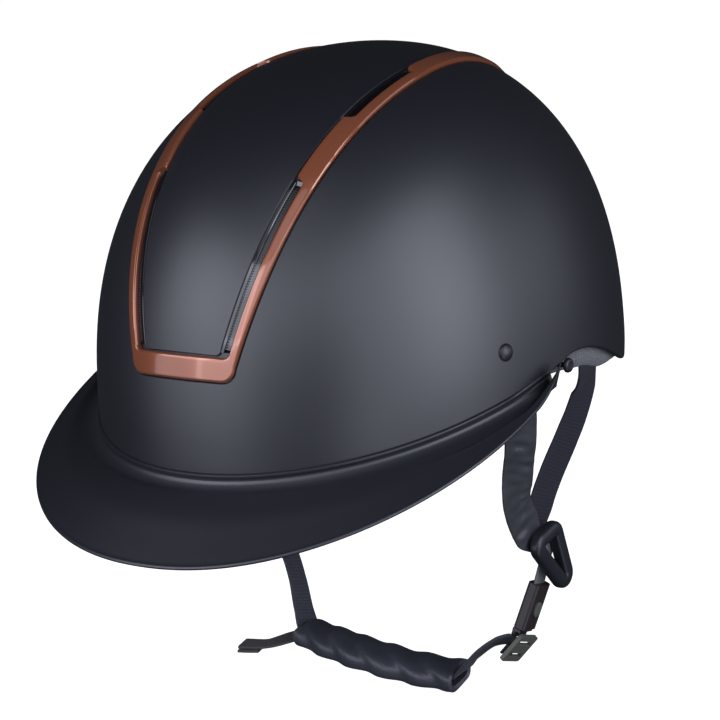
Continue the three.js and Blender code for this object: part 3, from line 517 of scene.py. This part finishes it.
def shell_skin():
    turn = np.linspace(0, 2 * math.pi, 320, endpoint=False)
    level = np.linspace(0, 1, 121)[1:, None]
    lowest = np.arccos(shell_edge(turn) / DOME["height"])[None]
    z = DOME["height"] * np.cos(lowest * level)
    outer, inner = on_dome(turn[None], z, 0), on_dome(turn[None], z, -SHELL_WALL)
    bend = np.radians(np.linspace(0, 180, 11)[1:-1])[:, None]
    half = SHELL_WALL / 2
    rim_z = shell_edge(turn)[None] - 0.9 * half * np.sin(bend)
    rim = on_dome(turn[None], rim_z, -half + half * np.cos(bend))
    rings = np.concatenate([outer, rim, inner[::-1]])
    mesh = grid_mesh("shell_skin", rings)
    obj = bpy.data.objects.new("cutting", mesh)
    bpy.context.scene.collection.objects.link(obj)
    deep, low, wide = -CHANNEL_DEPTH, -0.5, 1.05
    profile = [(0, -0.4, deep), (0, -0.4, low), (0, -wide, 0.15), (0, -wide, 4),
               (1, -wide, 4), (1, -wide, 0.15), (1, -0.4, low), (1, -0.4, deep)]
    channel = grid_mesh("channel", frame_rings(rail_inner, profile, tip=0.004))
    slots = []
    for start, end in SLOTS.values():
        for side in (1, -1):
            u = np.linspace(start, end, 60)
            ring = [rail_point(side * (rail_inner(u) + c), u, o)
                    for c, o in ((1.3, -5), (3.5, -5), (3.5, -0.6), (1.3, -0.6))]
            slots.append(grid_mesh("slot", np.stack(ring, 1)))
    tools = []
    for cutter in (channel, *slots):
        tool = bpy.data.objects.new("cutter", cutter)
        bpy.context.scene.collection.objects.link(tool)
        tools.append(tool)
        change = obj.modifiers.new("cut", "BOOLEAN")
        change.operation = "DIFFERENCE"
        change.solver = "MANIFOLD"
        change.object = tool
    cut = bpy.data.meshes.new_from_object(obj.evaluated_get(bpy.context.evaluated_depsgraph_get()))
    for old in (obj, *tools):
        bpy.data.objects.remove(old)
    cut.name = "shell_skin"
    cut.materials.clear()
    cut.polygons.foreach_set("material_index", np.zeros(len(cut.polygons), np.int32))
    piece("shell_skin", cut, "helmet", ["shell"], ["outer_shell"], sharp=30)
    dome_shading(cut)


def dome_shading(mesh):
    """Gives the outer surface the dome's own normals, so that cuts in it don't disturb its shading."""
    co = np.zeros(len(mesh.vertices) * 3, np.float32)
    mesh.vertices.foreach_get("co", co)
    co = co.reshape(-1, 3).astype(float) / MM
    theta = dome_theta(*co.T)
    normal = dome_normal(theta, co[:, 2])
    off = np.linalg.norm(co - dome_point(theta, co[:, 2]), axis=1)
    face = np.zeros(len(mesh.polygons) * 3, np.float32)
    mesh.polygons.foreach_get("normal", face)
    face = face.reshape(-1, 3)
    totals = np.zeros(len(mesh.polygons), np.int32)
    mesh.polygons.foreach_get("loop_total", totals)
    owner = np.repeat(np.arange(len(totals)), totals)
    vertex = np.zeros(len(mesh.loops), np.int32)
    mesh.loops.foreach_get("vertex_index", vertex)
    keep = (np.einsum("ij,ij->i", face[owner], normal[vertex]) > 0.97) & (off[vertex] < 0.03)
    mesh.normals_split_custom_set(np.where(keep[:, None], normal[vertex], 0).tolist())


def trim_plate():
    profile = [(0, 0, -1.1), (0, 0, 0.65), (0, 0.12, 0.95), (0, 0.62, 1.42), (0, 0.85, 1.5), (0, 1.6, 1.56),
               (1, 1.6, 1.56), (1, 0.85, 1.5), (1, 0.62, 1.42), (1, 0.12, 0.95), (1, 0, 0.65), (1, 0, -1.1)]
    mesh = grid_mesh("trim_plate", frame_rings(trim_inner, profile))
    piece("trim_plate", mesh, "helmet", ["copper"], ["trim_frame"], sharp=24)


def vent_comb(word, side, word_side):
    """A gloss strip along the centre panel with a fine comb of ribs beside it."""
    start, end = SLOTS[word]
    pitch = 1.12 / STATION
    count = int((end - start - 0.004) / pitch)
    stations, heights = [start - 0.002], [-0.15]
    for k in range(count):
        u = start + 0.003 + k * pitch
        stations += [u, u + 0.0001, u + 0.5 * pitch, u + 0.5 * pitch + 0.0001]
        heights += [-1.5, -0.25, -0.25, -1.5]
    stations.append(end + 0.002)
    heights.append(-0.15)
    u, rib = np.array(stations), np.array(heights)
    profile = [(-0.3, -1.2), (-0.3, -0.1), (-0.1, 0.12), (0.95, 0.12), (1.2, -0.1), (1.25, rib), (3.45, rib),
               (3.45, -1.2)]
    ring = [rail_point(side * (rail_inner(u) + c), u, o) for c, o in profile]
    mesh = grid_mesh(f"vent_comb_{word}_{word_side}", np.stack(ring, 1))
    piece(mesh.name, mesh, "helmet", ["gloss"], [f"vent_grille_{word}_{word_side}"], sharp=25)


# ---------------------------------------------------------------- brim
def brim_edge(t):
    cos = np.cos(t)
    reach = np.where(cos < 0, 0.7, 1)
    x = 114.7 * signed_power(np.sin(t), 2 / 2.13)
    y = -39.3 - 131.1 * reach * signed_power(cos, 2 / 2.13)
    return np.stack([x, y, 8.85 - 43.67 * cos + 5.73 * np.cos(2 * t) - 2.04 * np.cos(3 * t)], -1)


def brim_skin():
    t = np.radians(np.linspace(-105, 105, 301))
    theta = t * 84 / 105
    fade = 1 - smooth(math.radians(88), math.radians(105), np.abs(t))
    top, edge = seam_z(theta), brim_edge(t)

    def at(offset, dz):
        return on_dome(theta, top + dz, offset)

    def to_edge(point, share, lift):
        return mix(point, edge, share) + [0, 0, lift]

    root = at(7.0 * fade + 1.5, -6.2)
    out = unit((edge - root) * [1, 1, 0.3])
    thin = 0.35 + 0.65 * fade
    bead = [at(0.05, 0.9), at(0.75 * thin, 0.8), at(1.25 * thin, 0.35), at(1.35 * thin, -0.35),
            at(1.0 * thin, -1.0), at(0.55 * thin, -1.35)]
    above = spline([at(1.1 * fade + 0.5, -1.9), at(1.9 * fade + 0.7, -3.4), at(3.9 * fade + 1.1, -5.1), root,
                    to_edge(root, 0.35, 1.6), to_edge(root, 0.7, 1.3), edge + [0, 0, 0.9]], 8)
    roll = np.radians(np.linspace(90, -90, 9)[1:-1])
    tip = [edge + out * 0.9 * thin[:, None] * math.cos(a) + [0, 0, 0.9 * math.sin(a)] for a in roll]
    depth = 0.4 + 0.6 * fade
    below = spline([edge - [0, 0, 0.9], to_edge(root, 0.7, -1.9), to_edge(root, 0.35, -2.6),
                    at(2.6, -4.2 - 6.2 * depth), at(0.2, -4.4 - 6 * depth)], 6)
    rings = np.stack([*bead, *above, *tip, *below], 1)
    mesh = grid_mesh("brim_skin", rings)
    piece("brim_skin", mesh, "helmet", ["shell"], ["brim"], sharp=38)


# ---------------------------------------------------------------- liner and padding
def liner_foam():
    turn = np.linspace(0, 2 * math.pi, 160, endpoint=False)
    edge = shell_edge(turn)[None] + 6.5
    level = np.linspace(0, 1, 50)[1:, None]
    z = DOME["height"] * np.cos(np.arccos(edge / DOME["height"]) * level)
    bend = np.radians(np.linspace(0, 180, 15)[1:-1])[:, None]
    outer, inner = -3.9, -19.5
    half = (outer - inner) / 2
    square = signed_power(np.sin(bend), 0.35), signed_power(np.cos(bend), 0.35)
    rim = on_dome(turn[None], edge - 2.2 * square[0] + 1.2, (outer + inner) / 2 + half * square[1])
    rings = np.concatenate([on_dome(turn[None], z, outer), rim, on_dome(turn[None], z, inner)[::-1]])
    mesh = grid_mesh("liner_foam", rings)
    piece("liner_foam", mesh, "helmet", ["foam"], ["impact_liner"], sharp=50)


def pad_patch(name, nodes, start, end, low, high, tiles, rows=1):
    """A quilted pad on the inside of the liner: low and high are heights above the shell's edge."""
    outer, inner = -20.4, -27.5
    share = np.linspace(0, 1, 121)[:, None]
    turn = np.linspace(0, 2 * math.pi, 72, endpoint=False)[None]
    ends = (1 - np.abs(2 * share - 1) ** 14) ** 0.5
    up = signed_power(np.sin(turn), 0.5) * (0.72 + 0.28 * ends)
    depth = signed_power(np.cos(turn), 0.75) * (0.12 + 0.88 * ends)
    theta = np.radians(mix(start, end, share))
    z = shell_edge(theta) + mix(low, high, (up + 1) / 2)
    row_seam = 0.75 + 0.25 * np.abs(np.sin((up + 1) / 2 * rows * math.pi))
    seam = np.abs(np.sin(share * tiles * math.pi)) ** 0.45 * row_seam
    depth = np.where(depth < 0, depth * (0.45 + 0.55 * seam), depth)
    offset = (outer + inner) / 2 + (outer - inner) / 2 * depth
    mesh = grid_mesh(name, on_dome(theta, z, offset),
                     uv=(np.linspace(0, abs(end - start) * 1.6, 121), np.linspace(0, 2 * (high - low), 73)))
    piece(name, mesh, "helmet", ["lining"], nodes, sharp=60)


def crown_cushion():
    turn = np.linspace(0, 2 * math.pi, 144, endpoint=False)[None]
    share = np.linspace(0, 1, 40)[1:, None]
    lowest = math.acos(96 / DOME["height"])
    z = DOME["height"] * np.cos(lowest * share)
    lobes = 0.55 + 0.45 * np.abs(np.sin(turn * 4)) ** 0.4 * np.ones_like(share)
    lobes = mix(1, lobes, smooth(0.15, 0.4, share)) * rounded(share, 6)
    inner = on_dome(turn, z, -20.6 - 6.8 * lobes)
    outer = on_dome(turn, z, -20.5)
    mesh = grid_mesh("crown_cushion", np.concatenate([outer, inner[::-1]]),
                     uv=(np.linspace(0, 120, 78), np.linspace(0, 260, 145)))
    piece("crown_cushion", mesh, "helmet", ["lining"], ["crown_pad"], sharp=60)


def rim_cushion(name, node, start, end, drop, outer, inner, half, puffs):
    """A stuffed roll along the lower rim."""
    share = np.linspace(0, 1, 181)[:, None]
    turn = np.linspace(0, 2 * math.pi, 48, endpoint=False)[None]
    theta = np.radians(mix(start, end, share))
    ends = (1 - np.abs(2 * share - 1) ** 18) ** 0.5
    fold = 1 - 0.07 * (1 - np.abs(np.sin(share * puffs * math.pi)) ** 0.35)
    z = shell_edge(theta) - drop + np.sin(turn) * half * fold * (0.3 + 0.7 * ends)
    offset = (outer + inner) / 2 + np.cos(turn) * (outer - inner) / 2 * fold * (0.3 + 0.7 * ends)
    length = np.radians(end - start) * 112
    mesh = grid_mesh(name, on_dome(theta, z, offset),
                     uv=(np.linspace(0, length, 181), np.linspace(0, 26, 49)))
    piece(name, mesh, "helmet", ["knit"], [node], sharp=60)


def roll_bottom(theta):
    t = wrap_degrees(theta)
    return 2.5 - 7 * smooth(90, 110, t) - 5 * smooth(98, 114, t) - 11 * smooth(108, 140, t)


def side_cushion(word, side):
    share = np.linspace(0, 1, 111)[:, None]
    turn = np.linspace(0, 2 * math.pi, 56, endpoint=False)[None]
    theta = np.radians(mix(88, 133, share)) * side
    low = roll_bottom(theta)
    high = np.minimum(low + 13, shell_edge(theta) + 5.8)
    outer = mix(-7, -3.3, smooth(91, 97, wrap_degrees(theta)))
    ends = (1 - np.abs(2 * share - 1) ** 16) ** 0.5
    crease = 1 - 0.05 * (1 - np.abs(np.sin(share * 5 * math.pi)) ** 0.3)
    up = signed_power(np.sin(turn), 0.8)
    z = mix(low, high, (up * (0.4 + 0.6 * ends) + 1) / 2)
    offset = mix(-15.5, outer, (signed_power(np.cos(turn), 0.85) * crease * (0.3 + 0.7 * ends) + 1) / 2)
    mesh = grid_mesh(f"side_cushion_{word}", on_dome(theta, z, offset),
                     uv=(np.linspace(0, 84, 111), np.linspace(0, 34, 57)))
    piece(mesh.name, mesh, "helmet", ["knit"], [f"side_roll_{word}"], sharp=60)


# ---------------------------------------------------------------- studs
def studs(word, side):
    angle = math.radians(RIVET_ANGLE) * side
    cap = [(0.001, 1.95), (0.9, 1.9), (1.8, 1.72), (2.6, 1.4), (3.2, 1.0), (3.6, 0.6), (3.8, 0.3),
           (3.7, 0.05), (1.3, 0.0), (1.3, -6.4), (0.001, -6.4)]
    mesh = grid_mesh(f"rivet_{word}", lathe(cap, on_dome(angle, RIVET_Z, 0), dome_normal(angle, RIVET_Z)))
    piece(mesh.name, mesh, "helmet", ["plastic"], [f"side_rivet_{word}"], sharp=45)
    angle = math.radians(SNAP_ANGLE) * side
    knob = [(0.001, 1.4), (1.0, 1.38), (1.7, 1.55), (2.4, 1.45), (2.9, 1.1), (3.2, 0.4), (3.2, -0.4),
            (1.2, -0.6), (1.2, -5), (0.001, -5)]
    mesh = grid_mesh(f"snap_{word}", lathe(knob, on_dome(angle, SNAP_Z, -1.4), dome_normal(angle, SNAP_Z)))
    piece(mesh.name, mesh, "helmet", ["plastic"], [f"liner_snap_{word}"], sharp=45)


# ---------------------------------------------------------------- straps
def hidden(theta, z, offset):
    return [*on_dome(theta, z, offset), *dome_normal(theta, z)]


def hang(side, x, y, z, share):
    """A point of a hanging strap. The right yoke hangs a little further in, back and up than the left."""
    return [x, y, z] if side > 0 else [8 * share - x, y + 10 * share, z + 4 * share]


def front_route(side):
    top, turn = math.radians(RIVET_ANGLE) * side, math.radians(side)
    return [
        hidden(top, 34.1, FRONT_STRAP_OFFSET), hidden(top, RIVET_Z, FRONT_STRAP_OFFSET),
        hidden(top + 2.5 * turn, 12, FRONT_STRAP_OFFSET), hidden(top + 4 * turn, -1, FRONT_STRAP_OFFSET),
        [*hang(side, 95.6, -27.4, -20.4, 0.05), side, -0.2, 0],
        [*hang(side, 92, -25.6, -31.8, 0.4), side, -0.2, 0],
        [*hang(side, 88.3, -22.6, -46.1, 0.65), side, -0.15, 0],
        [*hang(side, 84.8, -16.6, -57.5, 0.85), side, 0, 0],
        [*hang(side, 83.6, -7, -71, 1), side, 0, 0],
        [*hang(side, 85, -2.2, -76.5, 1), side, 0, 0],
    ]


def rear_route(side):
    top = math.radians(REAR_STRAP_ANGLE) * side
    return [
        *(hidden(top, z, REAR_STRAP_OFFSET) for z in (26, 12, -3)),
        [*hang(side, 94.4, 27.5, -13, 0.2), side, 0, 0],
        [*hang(side, 91.2, 24.8, -23.6, 0.35), side, 0, 0],
        [*hang(side, 88, 19.8, -34, 0.5), side, 0, 0],
        [*hang(side, 83.6, 11.5, -48.5, 0.75), side, 0, 0],
        [*hang(side, 81.2, 6, -59, 0.9), side, 0, 0],
        [*hang(side, 80.4, 1.5, -69, 1), side, 0, 0],
        [*hang(side, 81.6, -0.6, -74.5, 1), side, 0, 0],
    ]


def strap(name, node, body, stations, width, thick, surface, shift=0.0, wrinkle=0.0, inset=None,
          steps=120, gather=1.0):
    """A flat strap along a route.

    It can have wrinkles, two rows of stitches at an inset, and a lower end gathered to a share of its width.
    """
    route = Route(stations, steps)
    x, y = band_section(width, thick).T
    crease = np.zeros((steps + 1, len(x)))
    for _ in range(9):
        pitch, phase, slant = RNG.uniform(5, 16), RNG.uniform(0, 6.3), RNG.uniform(0.2, 0.9)
        crease += np.sin((route.along[:, None] / pitch + x[None] * slant / 6) * 2 * math.pi + phase)
    crease *= 1 - np.abs(2 * x[None] / width) ** 4
    narrow = mix(1, gather, smooth(route.along[-1] - 16, route.along[-1], route.along))[:, None]
    grid = route.place(x[None] * narrow, y[None] + shift + wrinkle * crease / 5)
    extra = None
    if inset:
        extra = stitch_rows(route, width / 2 - inset, shift + thick / 2 + 0.02)
    ring = np.concatenate([[0], np.cumsum(np.hypot(np.diff(x, append=x[0]), np.diff(y, append=y[0])))])
    mesh = grid_mesh(name, grid, uv=(route.along, ring), extra=extra)
    piece(name, mesh, body, [surface, "thread"] if inset else [surface], [node], sharp=50)


DIVIDER_X = {1: 88, -1: -80}
DIVIDER_CORNERS = {
    1: [[-8, -74], [1, -72.6], [5.5, -92]],
    -1: [[2, -70], [11, -68.6], [15.5, -88]],
}


def divider(word, side):
    """A rounded three-cornered loop in the plane of the yoke straps."""
    corners = np.array(DIVIDER_CORNERS[side], float)
    facing = []
    for k in range(3):
        before, here, after = corners[k - 1], corners[k], corners[(k + 1) % 3]
        start, end = (math.atan2(*(b - a)[::-1]) + math.pi / 2 for a, b in ((before, here), (here, after)))
        while end > start:
            end -= 2 * math.pi
        facing += [(k, a) for a in np.linspace(start, end, 14)]
    where = np.array([corners[k] for k, _ in facing])
    angle = np.array([a for _, a in facing])
    arms = np.stack([np.cos(angle), np.sin(angle)], 1)
    turn = np.linspace(0, 2 * math.pi, 28, endpoint=False)
    radius = 3.3 + 3.3 * signed_power(np.cos(turn), 0.62)
    height = 2.9 * signed_power(np.sin(turn), 0.62) * (1 - 0.12 * np.cos(turn))
    flat = where[:, None] + arms[:, None] * radius[None, :, None]
    long = []
    for k in range(len(flat)):
        following = flat[(k + 1) % len(flat)]
        steps = 6 if np.linalg.norm(following - flat[k], axis=1).min() > 3 else 1
        long += [mix(flat[k], following, s / steps) for s in range(steps)]
    flat = np.array(long)
    x = np.broadcast_to(DIVIDER_X[side] + height, flat.shape[:2])
    mesh = grid_mesh(f"divider_loop_{word}", np.concatenate([x[..., None], flat], -1), loop=True)
    piece(mesh.name, mesh, "helmet", ["plastic"], [f"divider_{word}"], sharp=60)


# ---------------------------------------------------------------- chin strap
ADJUSTER_FACE = (0.78, -0.26, -0.57)
CHIN_MIDDLE = [
    [41, -14, -140.2, 0.2, 0.1, -1], [22, -15, -139.6, 0.05, 0.1, -1], [0, -16, -137.2, 0, 0.1, -1],
    [-25, -12.5, -135.6, -0.1, 0.1, -1], [-46.5, -6, -135.4, -0.4, 0, -1],
]
CHIN_ROUTE = [
    [72.4, -13.2, -118.6, *ADJUSTER_FACE], [67, -15.2, -120.2, 0.65, -0.4, -0.65],
    [60, -16.6, -123.8, 0.55, -0.2, -0.8], [50, -16.2, -132.5, 0.6, 0, -1], *CHIN_MIDDLE,
    [-53.5, -1, -128, -1, 0, -0.7], [-60, 5, -115, -1, 0, -0.3], [-66.5, 9.5, -104, -1, 0, -0.3],
    [-73.6, 12, -95, -1, 0, -0.5],
]
TAIL_ROUTE = [
    [-38, -8.6, -135.4, -0.2, 0, -1], [-46, -5.6, -135.4, -0.3, 0, -1], [-53, -6.8, -136, -0.1, 0, -1],
    [-64, -16.4, -137.8, 0.05, 0, -1], [-77, -19, -138.6, 0.05, 0, -1],
]
TAIL_END = [
    [-67, -17.3, -138, 0.05, 0, -1], [-72, -18.4, -138.3, 0.05, 0, -1], [-77, -19, -138.6, 0.05, 0, -1],
]
BUCKLE_STRAP = [
    [84.6, 2.4, -74.5, 1, 0, 0], [84.4, 2.0, -79.5, 1, 0, 0], [83.4, 0, -84.5, 1, -0.05, -0.15],
    [82.8, -2.2, -89, 1, -0.1, -0.3], [81.4, -4.1, -95.4, 1, -0.1, -0.3],
]
ADJUSTER_LOOP = [
    [72.3, -13.9, -119.9, *ADJUSTER_FACE], [70.8, -14.6, -121.7, *ADJUSTER_FACE],
    [68.6, -15.7, -124.3, *ADJUSTER_FACE],
]


def chin_sleeve():
    """The chin cover: a soft tube wound with overlapping slanted turns."""
    steps, around, wraps = 340, 72, 5
    route = Route(CHIN_MIDDLE, steps)
    turn = np.linspace(0, 2 * math.pi, around, endpoint=False)
    x, y = 8.9 * signed_power(np.cos(turn), 0.72), 5.3 * signed_power(np.sin(turn), 0.8)
    length = route.along[-1]
    slant = 0.55 * np.cos(turn) + 0.15 * np.sin(turn)
    phase = (route.along[:, None] / length) * wraps + slant[None]
    share = phase - np.floor(phase)
    rise = smooth(0, 0.55, share) * (1 - smooth(0.62, 1.0, share))
    sag = 0.25 * np.sin(phase * 2 * math.pi + 2 * turn[None]) + 0.18 * np.sin(3 * turn[None] + phase * 5)
    grow = 1.0 + (1.1 * rise + 0.5 * sag) / np.hypot(x, y)[None]
    outer = route.place(x[None] * grow, y[None] * grow)
    bore_x, bore_y = 7.0 * signed_power(np.cos(turn), 0.5), 2.7 * signed_power(np.sin(turn), 0.6)
    inner = route.place(bore_x[None], bore_y[None] * np.ones((steps + 1, 1)))
    first, last = (mix(outer[i], inner[i], 0.5) + route.tangent[i] * s for i, s in ((0, -0.7), (-1, 0.7)))
    rings = np.concatenate([outer, last[None], inner[::-1], first[None]])
    along = np.concatenate([route.along, [length + 2], length + 4 + route.along, [2 * length + 6]])
    mesh = grid_mesh("chin_sleeve", rings, loop=True, uv=(along, np.linspace(0, 60, around + 1)))
    piece("chin_sleeve", mesh, "chin_strap", ["chin_leather"], ["chin_cover"], sharp=45)


# ---------------------------------------------------------------- CAD nodes that stay
def keep_node(name, surface, bevel):
    """Gives a CAD node its finish, and softens its edges."""
    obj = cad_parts[name]
    obj.data.materials.clear()
    obj.data.materials.append(MATERIALS[surface])
    weld = obj.modifiers.new("weld", "WELD")
    weld.merge_threshold = 1e-5
    soften = obj.modifiers.new("bevel", "BEVEL")
    soften.width = bevel * MM
    soften.segments = 3
    soften.limit_method = "ANGLE"
    soften.angle_limit = math.radians(32)
    soften.harden_normals = True


KEPT_NODES = [
    # node, material, bevel in mm
    ("buckle_housing", "buckle", 0.9), ("release_button", "button", 0.5), ("button_spring", "steel", 0.05),
    ("buckle_plug", "buckle", 0.4), ("adjuster_slide", "button", 0.6), ("dial_housing", "plastic", 1.2),
    ("dial_knob", "plastic", 0.5), ("dial_pinion", "plastic", 0.2), ("nape_hanger", "plastic", 0.3),
    ("rivet_washer_left", "steel", 0.2), ("rivet_washer_right", "steel", 0.2),
    ("cradle_band_left", "plastic", 0.3), ("cradle_band_right", "plastic", 0.3),
]


def build_pieces():
    shell_skin()
    trim_plate()
    brim_skin()
    liner_foam()
    crown_cushion()
    pad_patch("forehead_cushion", ["forehead_pad"], -52, 52, 10, 36, 6, 2)
    pad_patch("neck_cushion", ["neck_pad"], 128, 232, 10, 36, 6, 2)
    rim_cushion("front_cushion", "front_roll", -64, 64, -0.5, -7.5, -18, 5, 9)
    rim_cushion("rear_cushion", "rear_roll", 136, 224, 0, -7, -18.5, 5.6, 7)
    for word, side in (("left", 1), ("right", -1)):
        for slot in SLOTS:
            vent_comb(slot, side, word)
        pad_patch(f"temple_cushion_{word}", [f"temple_pad_{word}"], 58 * side, 112 * side, 10, 30, 3)
        side_cushion(word, side)
        studs(word, side)
        strap(f"front_leather_{word}", f"front_strap_{word}", "helmet", front_route(side), 20, 1.3,
              "leather", wrinkle=0.8, gather=0.5)
        strap(f"rear_weave_{word}", f"rear_strap_{word}", "helmet", rear_route(side), 19, 1.3,
              "webbing", wrinkle=0.04, gather=0.55)
        divider(word, side)
    strap("buckle_weave", "buckle_strap", "helmet", BUCKLE_STRAP, 8, 1.2, "grey_webbing",
          steps=30)
    strap("adjuster_weave", "adjuster_loop", "chin_strap", ADJUSTER_LOOP, 9.6, 1.2, "webbing",
          steps=20)
    strap("chin_weave", "chin_webbing", "chin_strap", CHIN_ROUTE, 12, 1.4, "chin_webbing",
          shift=-1.4, steps=220)
    strap("tail_weave", "strap_tail", "chin_strap", TAIL_ROUTE, 10, 1.4, "tail_webbing",
          shift=1.3)
    strap("tail_double", "tail_end", "chin_strap", TAIL_END, 11, 1.4, "tail_webbing",
          shift=3.1, inset=1.4, steps=30)
    chin_sleeve()
    for name, surface, bevel in KEPT_NODES:
        keep_node(name, surface, bevel)


# ---------------------------------------------------------------- stage
FLOOR_HALF, FLOOR_GAP = 9.0, 0.006
BOX_DISTANCE, BOX_SIZE = 1.6, 0.8
LIGHTS = [
    # azimuth, elevation, watts: a low and a high row of soft boxes round the front, one above, one that
    # fills from below. The watts come from a least-squares fit to the measured tones of the shell.
    (-35, 2, 2.5), (-10, 2, 4), (15, 2, 1), (65, 2, 3.5), (95, 2, 8), (130, 2, 2),
    (-35, 28, 6), (-10, 28, 5), (15, 28, 3), (40, 28, 2), (65, 28, 3.5), (95, 28, 7),
    (20, 58, 1.5), (60, -30, 3.5),
]
LIGHT_COLOR = (0.90, 0.94, 1.08)


def make_stage():
    floor = bpy.data.meshes.new("floor")
    level = cad_low.z - FLOOR_GAP
    corners = [(x * FLOOR_HALF, y * FLOOR_HALF, level) for x, y in ((-1, -1), (1, -1), (1, 1), (-1, 1))]
    floor.from_pydata(corners, [], [(0, 1, 2, 3)])
    pale = make_material("pale_floor", (0.8, 0.8, 0.8), 0.9)
    shader = pale.node_tree.nodes["Principled BSDF"]
    shader.inputs["Emission Color"].default_value = (1, 1, 1, 1)
    shader.inputs["Emission Strength"].default_value = 0.9
    floor.materials.append(pale)
    plane = bpy.data.objects.new("floor", floor)
    bpy.context.scene.collection.objects.link(plane)
    plane.visible_diffuse = plane.visible_glossy = plane.visible_shadow = False
    aim = Vector((0, 0, 0.02))
    for k, (azimuth, elevation, power) in enumerate(LIGHTS):
        name = f"soft_box_{k}"
        data = bpy.data.lights.new(name, "AREA")
        data.shape = "RECTANGLE"
        data.size = data.size_y = BOX_SIZE
        data.energy = power
        data.color = LIGHT_COLOR
        lamp = bpy.data.objects.new(name, data)
        bpy.context.scene.collection.objects.link(lamp)
        a, e = math.radians(azimuth), math.radians(elevation)
        away = Vector((math.sin(a) * math.cos(e), -math.cos(a) * math.cos(e), math.sin(e)))
        lamp.location = aim + away * BOX_DISTANCE
        lamp.rotation_euler = away.to_track_quat("Z", "Y").to_euler()
    world = bpy.data.worlds.new("studio")
    bpy.context.scene.world = world
    world.use_nodes = True
    world.node_tree.nodes["Background"].inputs["Color"].default_value = (1, 1, 1, 1)
    world.node_tree.nodes["Background"].inputs["Strength"].default_value = 0.02
    bpy.context.scene.view_settings.view_transform = "Standard"


build_pieces()
make_stage()
